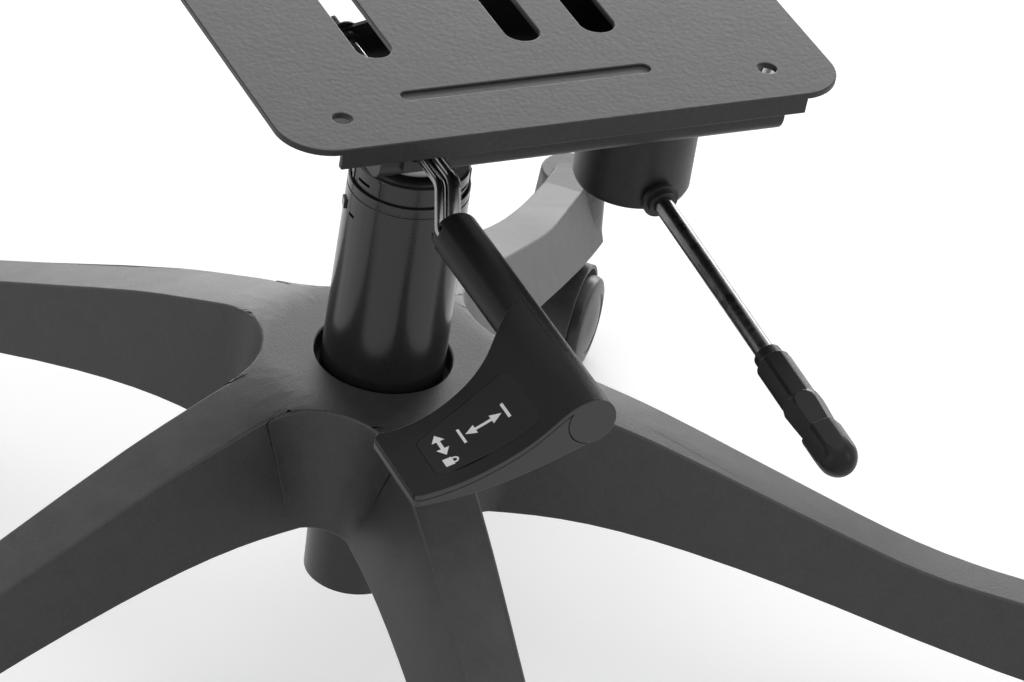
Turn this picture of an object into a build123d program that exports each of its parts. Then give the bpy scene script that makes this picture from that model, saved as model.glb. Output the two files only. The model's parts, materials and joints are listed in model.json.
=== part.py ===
from build123d import *
import math
import os

os.makedirs("parts", exist_ok=True)

# Sizes are in millimetres.
# Frame: origin on the floor under the column axis, +Z up, +Y to the front of the seat,
# +X to the sitter's right, which is the side of the two levers.

# Star base
hub_top = 201.0
leg_count = 5
first_leg_turn = 66.4
# The leg's line as drawn: distance from the column axis, top height, underside height. The line
# was drawn between the two named points below, and stretches with tip_reach, tip_foot and hub_top.
drawn_tip_reach = 351.4
drawn_tip_foot = 57.3
drawn_hub_top = 201.0
drawn_leg_line = (
    (30.0, 201.0, 139.2),
    (60.0, 200.2, 138.8),
    (92.0, 191.2, 137.8),
    (128.0, 177.8, 131.8),
    (175.0, 157.0, 119.0),
    (230.0, 132.5, 100.2),
    (285.0, 112.4, 80.4),
    (330.0, 102.2, 66.4),
    (356.0, 101.0, 60.4),
)
leg_top_half = 17.4
leg_top_taper = 0.0215
leg_under_half = 28.9
leg_under_taper = 0.0212
crown_spare = 2.0
leg_wall = 4.2
leg_roof = 4.5
leg_cells_from = 84.0
leg_cells_stop = 29.4
leg_rib = 3.0
leg_cross_ribs = 5
web_top_fillet = 40.0
web_under_fillet = 17.5
web_tangent_reach = 70.0
hub_pocket_depth = 52.0
hub_pocket_wall = 5.0
socket_wall = 8.0
socket_foot = 122.0
recess_margin = 3.0
recess_depth = 10.0
tip_reach = 351.4
tip_radius = 20.3
tip_top_radius = 17.2
collar_stand = 1.5
tip_edge = 4.0

# Casters
wheel_radius = 25.0
wheel_width = 19.4
wheel_rim = 3.5
wheel_face_inset = 8.0
wheel_hub_wall = 5.0
wheel_dome = 2.4
wheel_gap = 0.8
caster_web = 13.4
caster_trail = 20.0
caster_turn = -41.6
fender_gap = 3.0
fender_wall = 2.2
fender_half_width = 20.5
boss_rise = 0.6
fender_foot = 24.0
caster_boss_radius = 11.0
axle_radius = 4.0
stem_radius = 5.5
stem_rise = 37.7
stem_collar_radius = 9.0
ring_groove_rise = 30.7
ring_thickness = 1.5
ring_radius = 6.4

# Column
column_radius = 25.0
column_wall = 2.0
column_foot = 80.4
column_top = 284.0
column_taper = 1.437
column_taper_drop = 20.0
lift_radius = 14.0
lift_wall = 2.0
lift_foot = 118.0
lift_top = 330.5
lift_taper_length = 27.0
lift_travel = 95.0
rod_radius = 5.0
rod_journal_radius = 4.0
rod_shoulder = 90.0
rod_foot = 75.5
piston_height = 8.0
piston_foot = 300.0
pin_radius = 4.0
pin_top = 336.5
pin_travel = 3.6
bush_rise = 33.0

# Column covers
cover_foot_margin = 3.5
cover_top_margin = 2.4
cover_top = 296.2
cover_wall = 0.95
cover_groove_height = 291.8
cover_groove_depth = 0.35
inner_cover_margin = 1.1
inner_cover_wall = 0.8
inner_cover_rise = 7.0
inner_cover_top = 306.6
cover_tab_turn = 256.0
inner_slot_turn = 283.0

# Tilt mechanism
tub_half_width = 48.0
tub_sheet = 2.5
tub_floor = 328.0
tub_back = -40.0
tub_corner = 8.5
tub_front = 156.0
tub_back_height = 343.0
tub_front_height = 374.0
tub_slope_end = 118.0
mount_socket_radius = 19.7
mount_socket_foot = 307.8
mount_flange_radius = 27.0
mount_flange = 2.2
pivot_y = 143.0
pivot_z = 368.0
pivot_radius = 6.0
ear_gap = 2.0
ear_sheet = 3.0
pivot_half_length = tub_half_width + ear_gap + ear_sheet + 6.0
ear_radius = 15.0
plate_under = 380.0
plate_sheet = 3.0
plate_half_width = 98.0
plate_length = 262.0
plate_middle_y = 25.0
plate_corner = 22.0
plate_lip = 7.0
bead_x = 64.0
bead_length = 120.0
bead_width = 10.0
bead_depth = 1.2
bolt_spacing_x = 150.0
bolt_spacing_y = 200.0
bolt_hole_radius = 4.25
tilt_limit = 10.0

# Spring barrel and tension drive
barrel_y = 111.5
barrel_radius = 26.9
barrel_wall = 2.0
barrel_foot = 279.1
barrel_edge = 4.0
barrel_flange = 11.1
rivet_count = 3
rivet_radius = 2.4
rivet_head_radius = 4.2
rivet_head = 1.8
screw_radius = 6.0
screw_top = 350.0
screw_journal = 5.0
gear_foot = 296.5
gear_sheet = 3.5
gear_radius = 14.4
gear_tooth_from = 9.5
gear_tooth_width = 1.7
gear_teeth = 16
gear_tooth_height = 3.2
pinion_teeth = 8
pinion_tip = 6.6
pinion_root = 4.2
pinion_from = 9.8
pinion_tooth_width = 1.6
pinion_length = 4.6
cup_foot = 301.0
cup_sheet = 4.0
cup_radius = 23.6
spring_radius = 17.0
spring_wire = 2.8
spring_turns = 7
spring_seat = 4.0

# Tension lever
lever_axis_height = 289.4
lever_slope = 4.38
lever_radius = 4.5
lever_journal_radius = 3.0
lever_from = 8.0
lever_grip_from = 141.5
lever_rod_depth = 40.0
lever_grip_to = 219.5
lever_collar_radius = 6.4
lever_collar = 6.0
lever_grip_radius = 8.2
lever_grip_wide_radius = 9.2
lever_grip_wide_from = 178.0
lever_grip_dome_from = 207.0
lever_grip_sides = 6
lever_grip_turn = 17.5
lever_scoop_from = 174.0
lever_scoop_to = 194.0
lever_scoop_lip = 1.2
lever_scoop_depth = 1.3
facet_share = 0.93

# Paddle lever
lift_rod_y = -17.2
lift_rod_z = 341.5
lift_rod_radius = 3.5
lift_rod_left_end = 5.0
lift_rod_bend_x = 72.0
lift_rod_bend = 9.0
lock_rod_radius = 2.1
lock_rod_offset = 6.2
lock_rod_overlap = 6.0
tongue_margin = 6.0
tongue_right_margin = 2.0
tongue_end = 0.5
tongue_sheet = 3.0
pin_gap = 0.3
paddle_axis_y = -22.5
paddle_axis_z = 328.2
paddle_from = 90.5
paddle_to = 231.0
paddle_radius = 10.6
paddle_rod_depth = 52.0
paddle_tip_y = -97.8
paddle_tip_top = 303.2
paddle_tip_under = 297.9
paddle_far_edge_x = 186.7
paddle_seam = 2.6
paddle_seam_gap = 0.15
label_depth = 0.6
label_corner = 4.0
slide_travel = 8.0
slider_inset = 26.0
slider_sheet = 3.0
comb_sheet = 3.0
comb_y = 71.0
comb_half_depth = 10.0
comb_foot = 345.3
tooth_z = 354.0
tooth_half_width = 2.5
tooth_half_height = 2.0
tooth_spare = 2.0
tooth_gap = 0.6
window_slack = 1.1

# Clearances
running = 0.06
press = 0.02
seat = 0.05
free = 0.3

# Sizes that follow from the ones above
socket_radius = column_radius + socket_wall
cover_foot_radius = column_radius + cover_foot_margin
cover_top_radius = column_radius + cover_top_margin
inner_cover_radius = column_radius + inner_cover_margin
recess_radius = cover_foot_radius + recess_margin
column_taper_top = hub_top - column_taper_drop
inner_cover_foot = hub_top - recess_depth + inner_cover_rise
bush_foot = column_taper_top + bush_rise
tip_foot = 2 * wheel_radius + fender_gap + fender_wall + boss_rise + collar_stand
stem_top = tip_foot + stem_rise
ring_groove_height = tip_foot + ring_groove_rise
leg_cells_to = tip_reach - leg_cells_stop
barrel_flange_radius = barrel_radius + barrel_flange
lift_rod_inner_end = -(tub_half_width + slide_travel + lift_rod_left_end)
slider_x = tub_half_width - slider_inset
lock_rod_from = slider_x - lock_rod_overlap
tongue_from = -(pin_radius + slide_travel + tongue_margin)
tongue_to = pin_radius + tongue_right_margin
tooth_length = slide_travel + tooth_spare


def stretched_leg_line():
    """The drawn leg line, fitted between the caster's top and the hub's top."""
    along = tip_reach / drawn_tip_reach
    upright = (hub_top - tip_foot) / (drawn_hub_top - drawn_tip_foot)
    rows = []
    for reach, top, under in drawn_leg_line:
        top_height = tip_foot + (top - drawn_tip_foot) * upright
        under_height = tip_foot + (under - drawn_tip_foot) * upright
        rows.append((reach * along, top_height, under_height))
    return rows


leg_stations = stretched_leg_line()


def revolved(points):
    """A solid of revolution about Z from (radius, height) points."""
    face = make_face(Polyline(*[(r, 0, z) for r, z in points], close=True))
    return revolve(face, Axis.Z)


def rod_x(radius, x_from, x_to, y, z):
    """A round bar along X."""
    bar = Cylinder(radius, x_to - x_from, rotation=(0, 90, 0))
    return Pos((x_from + x_to) / 2, y, z) * bar


def block(x_from, x_to, y_from, y_to, z_from, z_to):
    """A box between two corners."""
    centre = ((x_from + x_to) / 2, (y_from + y_to) / 2, (z_from + z_to) / 2)
    return Pos(*centre) * Box(x_to - x_from, y_to - y_from, z_to - z_from)


def disc(radius, z_from, z_to, x=0.0, y=0.0):
    """An upright cylinder."""
    return Pos(x, y, (z_from + z_to) / 2) * Cylinder(radius, z_to - z_from)


def save(node, *solids):
    """Writes one sub-part, as one solid or as a group of separate solids."""
    shape = solids[0] if len(solids) == 1 else Compound(children=[s.solid() for s in solids])
    export_step(shape, f"parts/{node}.step")


def column_radius_at(z):
    """Outer radius of the column tube, which tapers below the hub's top."""
    drop = max(0.0, column_taper_top - z)
    return column_radius - drop * math.tan(math.radians(column_taper))


def leg_top_half_at(reach):
    return leg_top_half - leg_top_taper * reach


def leg_under_half_at(reach):
    return leg_under_half - leg_under_taper * reach


# Star base
def leg_section(reach, top, under, inset=0.0, roof=0.0, drop=0.0):
    """One cross-section of a leg: narrow flat top, drafted sides."""
    slope = (leg_under_half_at(reach) - leg_top_half_at(reach)) / (top - under)
    top_half = leg_top_half_at(reach) + slope * roof - inset
    under_half = leg_under_half_at(reach) + slope * drop - inset
    corners = (
        (-under_half, under - drop),
        (under_half, under - drop),
        (top_half, top - roof),
        (-top_half, top - roof),
    )
    plane = Plane(origin=(reach, 0, 0), x_dir=(0, 1, 0), z_dir=(1, 0, 0))
    return plane * make_face(Polyline(*corners, close=True))


def crown_block(rows, under):
    """A round block whose top follows the legs' top line, so legs and webs share one surface."""
    level = (1, 0, 0)
    last_slope = (rows[-1][0] - rows[-2][0], 0, rows[-1][1] - rows[-2][1])
    top_line = Spline(*[(reach, 0, top) for reach, top, _ in rows], tangents=(level, last_slope))
    last_reach, last_top, _ = rows[-1]
    first_reach, first_top, _ = rows[0]
    edges = [
        Line((0, 0, first_top), (first_reach, 0, first_top)),
        top_line,
        Line((last_reach, 0, last_top), (last_reach, 0, under)),
        Line((last_reach, 0, under), (0, 0, under)),
        Line((0, 0, under), (0, 0, first_top)),
    ]
    return revolve(make_face(edges), Axis.Z)


def leg_outside():
    """A leg, lofted a little too high and then cut to the shared crown."""
    raised = loft([leg_section(*row, roof=-crown_spare) for row in leg_stations])
    return raised & crown_block(leg_stations, tip_foot - 10)


def leg_cells():
    """The hollows under a leg, between its walls and ribs."""
    hollow = loft([leg_section(*row, leg_wall, leg_roof, 8.0) for row in leg_stations])
    reach_box = block(leg_cells_from, leg_cells_to, -60, 60, 0, hub_top)
    spine = block(0, tip_reach, -leg_rib / 2, leg_rib / 2, 0, hub_top)
    cells = hollow & reach_box
    cells -= spine
    pitch = (leg_cells_to - leg_cells_from) / (leg_cross_ribs + 1)
    for number in range(1, leg_cross_ribs + 1):
        middle = leg_cells_from + number * pitch
        cells -= block(middle - leg_rib / 2, middle + leg_rib / 2, -60, 60, 0, hub_top)
    return cells


def web_outline(half_width, fillet_radius, height):
    """The plan shape that joins two neighbouring legs round a concave corner."""
    half_angle = math.pi / leg_count
    reach = (half_width + fillet_radius) / math.tan(half_angle)
    side_x = reach * math.cos(half_angle) + half_width * math.sin(half_angle)
    side_y = reach * math.sin(half_angle) - half_width * math.cos(half_angle)
    nearest = (half_width + fillet_radius) / math.sin(half_angle) - fillet_radius
    low = Line((0, 0), (side_x, -side_y))
    arc = ThreePointArc((side_x, -side_y), (nearest, 0), (side_x, side_y))
    high = Line((side_x, side_y), (0, 0))
    return Pos(0, 0, height) * make_face([low, arc, high])


def hub_web():
    """The filled corner between two legs, along +X."""
    under = leg_stations[0][2]
    top_face = web_outline(leg_top_half_at(web_tangent_reach), web_top_fillet, hub_top + 1)
    under_face = web_outline(leg_under_half_at(web_tangent_reach), web_under_fillet, under)
    return loft([under_face, top_face], ruled=True) & crown_block(leg_stations, under)


def hub_pocket():
    """A lightening pocket under one hub corner, along +X."""
    under = leg_stations[0][2]
    reach = (leg_top_half + web_top_fillet) / math.sin(math.pi / leg_count) - web_top_fillet
    outer = disc(reach - hub_pocket_wall, under - 1, under + hub_pocket_depth)
    inner = disc(socket_radius + hub_pocket_wall, under - 2, under + hub_pocket_depth + 1)
    side = reach * math.tan(math.radians(20))
    wedge = Polyline((0, 0), (reach, -side), (reach, side), close=True)
    return (outer - inner) & extrude(make_face(wedge), hub_top)


def tip_boss():
    """The round end of a leg, over its caster."""
    top = leg_stations[-1][1]
    boss = revolved((
        (0, tip_foot),
        (tip_radius - tip_edge, tip_foot),
        (tip_radius - 0.3, tip_foot + tip_edge),
        (tip_top_radius, top),
        (0, top),
    ))
    return Pos(tip_reach, 0, 0) * boss


def stem_socket():
    bore = disc(stem_radius + running, tip_foot - 1, stem_top + 1)
    groove = disc(ring_radius + seat, ring_groove_height - seat, ring_groove_height + ring_thickness + seat)
    return Pos(tip_reach, 0, 0) * (bore + groove)


def star_base():
    leg = leg_outside() - leg_cells()
    leg += tip_boss()
    turns = [first_leg_turn + 360 / leg_count * number for number in range(leg_count)]
    between = 180 / leg_count
    web = hub_web()
    socket = disc(socket_radius + 5, leg_stations[0][2], hub_top)
    socket += disc(socket_radius, socket_foot, hub_top)
    base = socket + [Rot(0, 0, turn) * leg for turn in turns]
    base += [Rot(0, 0, turn + between) * web for turn in turns]
    pocket = hub_pocket()
    bore = revolved((
        (0, socket_foot - 1),
        (column_radius_at(socket_foot - 1) + press, socket_foot - 1),
        (column_radius_at(column_taper_top) + press, column_taper_top),
        (column_radius_at(column_taper_top) + press, hub_top + 1),
        (0, hub_top + 1),
    ))
    base -= bore
    base -= disc(recess_radius, hub_top - recess_depth, hub_top + 5)
    for turn in turns:
        base -= Rot(0, 0, turn) * stem_socket()
        base -= Rot(0, 0, turn + between) * pocket
    return base


# Casters
def wheel(side):
    """One wheel on the axle's line: tread, domed face, hollow back. side is +1 or -1."""
    inner = caster_web / 2 + wheel_gap
    outer = inner + wheel_width
    bore = axle_radius + running
    depth = outer - 3.0
    profile = Polyline(
        (bore, inner),
        (axle_radius + wheel_hub_wall, inner),
        (axle_radius + wheel_hub_wall, outer - 5.5),
        (wheel_radius - wheel_rim, outer - 5.5),
        (wheel_radius - wheel_rim, inner + 1.5),
        (wheel_radius - 1.5, inner),
        (wheel_radius, inner + 1.5),
        (wheel_radius, outer - 3.0),
        (wheel_radius - 1.0, outer - 0.9),
        (wheel_radius - 3.0, outer),
        (wheel_radius - wheel_face_inset, outer + 0.9),
        (wheel_radius - wheel_face_inset - 1.0, outer + 0.1),
        (8.0, outer + wheel_dome - 0.6),
        (0, outer + wheel_dome),
        (0, depth),
        (bore, depth),
        close=True,
    )
    turned = revolve(make_face(profile), Axis.Y)
    placed = turned if side > 0 else mirror(turned, Plane.XZ)
    return Pos(caster_trail, 0, wheel_radius) * placed


def hood():
    """Caster frame: middle web, fender over both wheels, boss for the stem."""
    centre = Pos(caster_trail, 0, wheel_radius)
    fender_inner = wheel_radius + fender_gap
    fender_outer = fender_inner + fender_wall
    ring = Cylinder(fender_outer, 2 * fender_half_width, rotation=(90, 0, 0))
    ring -= Cylinder(fender_inner, 2 * fender_half_width + 2, rotation=(90, 0, 0))
    web = Cylinder(fender_outer, caster_web, rotation=(90, 0, 0))
    ring &= block(-60, 80, -40, 40, fender_foot - wheel_radius, 90)
    web &= block(-60, 80, -40, 40, -9, 90)
    body = centre * (ring + web)
    boss_foot = wheel_radius + 3
    boss_top = wheel_radius + fender_outer + boss_rise
    boss = disc(caster_boss_radius, boss_foot, boss_top)
    for sign in (1, -1):
        clear = Cylinder(fender_inner, 30, rotation=(90, 0, 0))
        boss -= centre * Pos(0, sign * (caster_web / 2 + 15), 0) * clear
    body += boss
    body -= disc(stem_radius + press, boss_foot + 6, boss_top + 1)
    body -= centre * Cylinder(axle_radius + press, 40, rotation=(90, 0, 0))
    return body, boss_foot + 6, boss_top


def stem(foot, boss_top):
    """Steel stem: collar on the hood, groove for the snap ring, chamfered top."""
    collar_top = tip_foot - free
    body = disc(stem_radius, foot + press, stem_top - 1)
    body += disc(stem_radius - 1, stem_top - 1, stem_top)
    body += disc(stem_collar_radius, boss_top + press, collar_top)
    groove = disc(stem_radius + 1, ring_groove_height - 0.3, ring_groove_height + ring_thickness + 0.3)
    groove -= disc(stem_radius - 0.95, ring_groove_height - 1, ring_groove_height + ring_thickness + 1)
    return body - groove


def axle():
    reach = caster_web / 2 + wheel_gap + wheel_width - 3.0 - free
    bar = Cylinder(axle_radius, 2 * reach, rotation=(90, 0, 0))
    return Pos(caster_trail, 0, wheel_radius) * bar


def caster_place(number):
    """Where a caster's swivel axis stands; all five trail the same way."""
    turn = math.radians(first_leg_turn + 360 / leg_count * number)
    x = tip_reach * math.cos(turn)
    y = tip_reach * math.sin(turn)
    return Pos(x, y, 0) * Rot(0, 0, caster_turn)


def snap_ring():
    ring = disc(ring_radius, ring_groove_height, ring_groove_height + ring_thickness)
    bore = disc(stem_radius - 0.6, ring_groove_height - 1, ring_groove_height + ring_thickness + 1)
    slit = block(0, ring_radius + 2, -1.5, 1.5, ring_groove_height - 1, ring_groove_height + 3)
    return ring - bore - slit


def make_casters():
    hood_body, stem_foot, boss_top = hood()
    stem_body = stem(stem_foot, boss_top)
    axle_body = axle()
    for number in range(leg_count):
        place = caster_place(number)
        name = number + 1
        save(f"caster_hood_{name}", place * hood_body)
        save(f"caster_pins_{name}", place * stem_body, place * axle_body)
        save(f"caster_wheel_left_{name}", place * wheel(1))
        save(f"caster_wheel_right_{name}", place * wheel(-1))
    save("stem_snap_rings", *[caster_place(number) * snap_ring() for number in range(leg_count)])


# Column
def column_tube():
    foot_radius = column_radius_at(column_foot)
    floor = column_foot + 2.0
    return revolved((
        (rod_journal_radius + 0.5, column_foot),
        (foot_radius, column_foot),
        (column_radius, column_taper_top),
        (column_radius, column_top),
        (column_radius - column_wall, column_top),
        (column_radius - column_wall, column_taper_top),
        (column_radius_at(floor) - column_wall, floor),
        (rod_journal_radius + 0.5, floor),
    ))


def guide_bush():
    """Plastic guide in the tube's mouth for the lift cylinder."""
    outer = column_radius - column_wall - seat
    bore = lift_radius + running
    return revolved((
        (bore, bush_foot),
        (outer, bush_foot),
        (outer, column_top + press),
        (column_radius - 0.4, column_top + press),
        (column_radius - 0.4, column_top + 1.5),
        (bore, column_top + 1.5),
    ))


def thrust_bearing():
    """Two washers with the ball cage between them."""
    floor = column_foot + 2.0
    heights = ((0.02, 2.0), (2.1, 5.4), (5.5, 7.5))
    bore = rod_journal_radius + running
    washers = []
    for low, high in heights:
        washers.append(disc(12.0, floor + low, floor + high) - disc(bore, floor, floor + 9))
    return washers


def piston_rod():
    groove_foot = rod_foot + 1.6
    rod = disc(rod_journal_radius, rod_foot, rod_shoulder)
    rod += disc(rod_radius, rod_shoulder, piston_foot)
    rod += disc(rod_journal_radius, piston_foot, piston_foot + piston_height + 2)
    groove = disc(rod_journal_radius + 1, groove_foot, groove_foot + 1.6)
    groove -= disc(rod_journal_radius - 0.8, groove_foot - 1, groove_foot + 3)
    return rod - groove


def rod_clip():
    foot = rod_foot + 1.8
    clip = disc(8.0, foot, foot + 1.2) - disc(rod_journal_radius - 0.7, foot - 1, foot + 2)
    return clip - block(0, 12, -1.6, 1.6, foot - 1, foot + 2)


def rod_buffer():
    ring = disc(9.5, rod_shoulder + 1.5, rod_shoulder + 22)
    return ring - disc(rod_radius + 0.1, rod_shoulder, rod_shoulder + 24)


def piston():
    outer = lift_radius - lift_wall - running
    ring = disc(outer, piston_foot + press, piston_foot + piston_height)
    return ring - disc(rod_journal_radius + press, piston_foot - 1, piston_foot + piston_height + 1)


def lift_taper_radius(z):
    start = lift_top - lift_taper_length
    return lift_radius - max(0.0, z - start) * math.tan(math.radians(column_taper))


def gas_cylinder():
    bore = lift_radius - lift_wall
    body = revolved((
        (0, lift_foot),
        (lift_radius, lift_foot),
        (lift_radius, lift_top - lift_taper_length),
        (lift_taper_radius(lift_top), lift_top),
        (0, lift_top),
    ))
    body -= disc(bore, lift_foot + 8, lift_top - 18.5)
    body -= disc(rod_radius + running, lift_foot - 1, lift_foot + 9)
    body -= disc(pin_radius + running, lift_top - 15, lift_top + 1)
    return body


def release_pin():
    foot = lift_top - 15 + pin_travel + 1.4
    return disc(pin_radius, foot, pin_top)


def cover_outer():
    foot = hub_top - recess_depth + press
    groove_low = cover_groove_height - 0.5
    groove_high = cover_groove_height + 0.5

    def radius(z):
        return cover_foot_radius + (cover_top_radius - cover_foot_radius) * (z - foot) / (cover_top - foot)

    sleeve = revolved((
        (cover_foot_radius - cover_wall, foot),
        (cover_foot_radius, foot),
        (radius(groove_low), groove_low),
        (radius(groove_low) - cover_groove_depth, groove_low + 0.1),
        (radius(groove_high) - cover_groove_depth, groove_high - 0.1),
        (radius(groove_high), groove_high),
        (cover_top_radius, cover_top),
        (cover_top_radius - cover_wall, cover_top),
    ))
    tab = block(-1, 1.1, -2.5, 2.5, cover_top - 16, cover_top - 11.5)
    tab = Pos(cover_top_radius, 0, 0) * tab
    slot = block(-3, 3, -2.2, 2.2, cover_top - 15.9, cover_top - 14.5)
    slot = Pos(cover_top_radius, 0, 0) * slot
    rim_bore = disc(cover_top_radius - cover_wall, cover_top - 30, cover_top + 1)
    for number in range(3):
        turn = cover_tab_turn + 120 * number
        sleeve += Rot(0, 0, turn) * (tab - rim_bore)
        sleeve -= Rot(0, 0, turn + 19) * slot
    return sleeve


def cover_inner():
    """Upper cover section: hangs under the mechanism and slides in the outer one."""
    foot = inner_cover_foot
    top = inner_cover_top
    wall_radius = inner_cover_radius - inner_cover_wall
    sleeve = revolved((
        (wall_radius, foot),
        (inner_cover_radius, foot),
        (inner_cover_radius, top - 1),
        (inner_cover_radius - 1, top),
        (lift_radius + seat, top),
        (lift_radius + seat, top - 1.6),
        (wall_radius, top - 1.6),
    ))
    rib = block(-0.5, 0.5, -0.8, 0.8, cover_top + 1.2, top - 1.6)
    rib = Pos(inner_cover_radius, 0, 0) * rib
    slot = Pos(inner_cover_radius, 0, 0) * block(-3, 3, -4, 4, cover_top + 3.2, cover_top + 4.5)
    for number in range(3):
        turn = inner_slot_turn + 120 * number
        sleeve -= Rot(0, 0, turn) * slot
        sleeve += Rot(0, 0, turn + 20) * rib
        sleeve += Rot(0, 0, turn - 20) * rib
    return sleeve


# Tilt mechanism
def side_plane_block(points, x_from, x_to):
    """A prism along X from an outline of (y, z) points."""
    face = Plane.YZ * make_face(Polyline(*points, close=True))
    return Pos(x_from, 0, 0) * extrude(face, x_to - x_from, dir=(1, 0, 0))


def mech_housing():
    outline = (
        (tub_back, tub_floor),
        (tub_front, tub_floor),
        (tub_front, tub_front_height),
        (tub_slope_end, tub_front_height),
        (tub_back, tub_back_height),
    )
    tub = side_plane_block(outline, -tub_half_width, tub_half_width)
    low_edges = tub.edges().filter_by(Axis.Y).group_by(Axis.Z)[0]
    tub = fillet(low_edges, tub_corner)
    inside = (
        (tub_back + tub_sheet, tub_floor + tub_sheet),
        (tub_front - tub_sheet, tub_floor + tub_sheet),
        (tub_front - tub_sheet, plate_under + 20),
        (tub_back + tub_sheet, plate_under + 20),
    )
    hollow = side_plane_block(inside, -tub_half_width + tub_sheet, tub_half_width - tub_sheet)
    tub -= fillet(hollow.edges().filter_by(Axis.Y).group_by(Axis.Z)[0], tub_corner - tub_sheet)
    tub -= disc(mount_socket_radius + seat, tub_floor - 5, tub_floor + 10)
    tub -= disc(barrel_radius + seat, tub_floor - 5, tub_floor + 10, 0, barrel_y)
    tub -= rod_x(pivot_radius + press, -90, 90, pivot_y, pivot_z)
    tub -= bush_window(0.0)
    tub -= rod_x(lift_rod_radius + 2.0, -90, -30, lift_rod_y, lift_rod_z)
    for x, y in rivet_places():
        tub -= disc(rivet_radius + press, tub_floor - 5, tub_floor + 10, x, y)
    return tub


def bush_window(inset):
    """The opening in the right wall that the lever bush fills."""
    low_y = lift_rod_y - lock_rod_offset - 4.6 + inset
    high_y = lift_rod_y + 6.2 - inset
    low_z = lift_rod_z - 6.0 + inset
    high_z = lift_rod_z + 5.8 - inset
    return block(tub_half_width - 6, tub_half_width + 4, low_y, high_y, low_z, high_z)


def lever_bushes():
    """Right bush with a bore and a slot for the two rods, and the left bush of the lift rod."""
    inner = tub_half_width - tub_sheet
    body = bush_window(seat) & block(inner - 1.5, tub_half_width + 2, -80, 80, 300, 400)
    flange = block(
        tub_half_width + seat,
        tub_half_width + 2,
        lift_rod_y - lock_rod_offset - 6.5,
        lift_rod_y + 8,
        lift_rod_z - 8,
        lift_rod_z + 7.4,
    )
    body += flange
    body -= rod_x(lift_rod_radius + running, 30, 90, lift_rod_y, lift_rod_z)
    slot_y = lift_rod_y - lock_rod_offset
    body -= block(
        30, 90, slot_y - lock_rod_radius - 0.5, slot_y + lock_rod_radius + 0.7,
        lift_rod_z - lock_rod_radius - 0.6, lift_rod_z + lock_rod_radius + 2.0,
    )
    left = rod_x(lift_rod_radius + 2.0 - press, -tub_half_width - 1.5, -inner + 3, lift_rod_y, lift_rod_z)
    left += rod_x(lift_rod_radius + 4.0, -tub_half_width - 1.5, -tub_half_width - seat, lift_rod_y, lift_rod_z)
    left -= rod_x(lift_rod_radius + running, -90, -30, lift_rod_y, lift_rod_z)
    return body, left


def column_socket():
    """Tapered steel socket that the lift cylinder's cone wedges into."""
    floor_top = tub_floor + tub_sheet
    socket = revolved((
        (lift_taper_radius(mount_socket_foot) + press, mount_socket_foot),
        (mount_socket_radius - 1, mount_socket_foot),
        (mount_socket_radius, mount_socket_foot + 1),
        (mount_socket_radius, floor_top + press),
        (mount_flange_radius, floor_top + press),
        (mount_flange_radius, floor_top + mount_flange - 0.5),
        (mount_flange_radius - 0.5, floor_top + mount_flange),
        (lift_taper_radius(lift_top) + press, floor_top + mount_flange),
        (lift_taper_radius(lift_top) + press, lift_top),
    ))
    return socket


def pivot_shaft():
    shaft = rod_x(pivot_radius, -pivot_half_length, pivot_half_length, pivot_y, pivot_z)
    for sign in (1, -1):
        middle = sign * (pivot_half_length - 2.5)
        groove = rod_x(pivot_radius + 1, middle - 0.7, middle + 0.7, pivot_y, pivot_z)
        groove -= rod_x(pivot_radius - 0.8, middle - 1, middle + 1, pivot_y, pivot_z)
        shaft -= groove
    return shaft


def pivot_circlips():
    clips = []
    for sign in (1, -1):
        middle = sign * (pivot_half_length - 2.5)
        clip = rod_x(9.0, middle - 0.5, middle + 0.5, pivot_y, pivot_z)
        clip -= rod_x(pivot_radius - 0.7, middle - 1, middle + 1, pivot_y, pivot_z)
        clip -= block(middle - 2, middle + 2, pivot_y, pivot_y + 12, pivot_z - 1.8, pivot_z + 1.8)
        clips.append(clip)
    return clips


def pivot_bushes():
    bushes = []
    ear_inner = tub_half_width + ear_gap
    for sign in (1, -1):
        ends = sorted((sign * (tub_half_width + 0.3), sign * (ear_inner + ear_sheet + 1.5)))
        bush = rod_x(pivot_radius + 2.0, ends[0], ends[1], pivot_y, pivot_z)
        bushes.append(bush - rod_x(pivot_radius + running, -90, 90, pivot_y, pivot_z))
    return bushes


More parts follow.
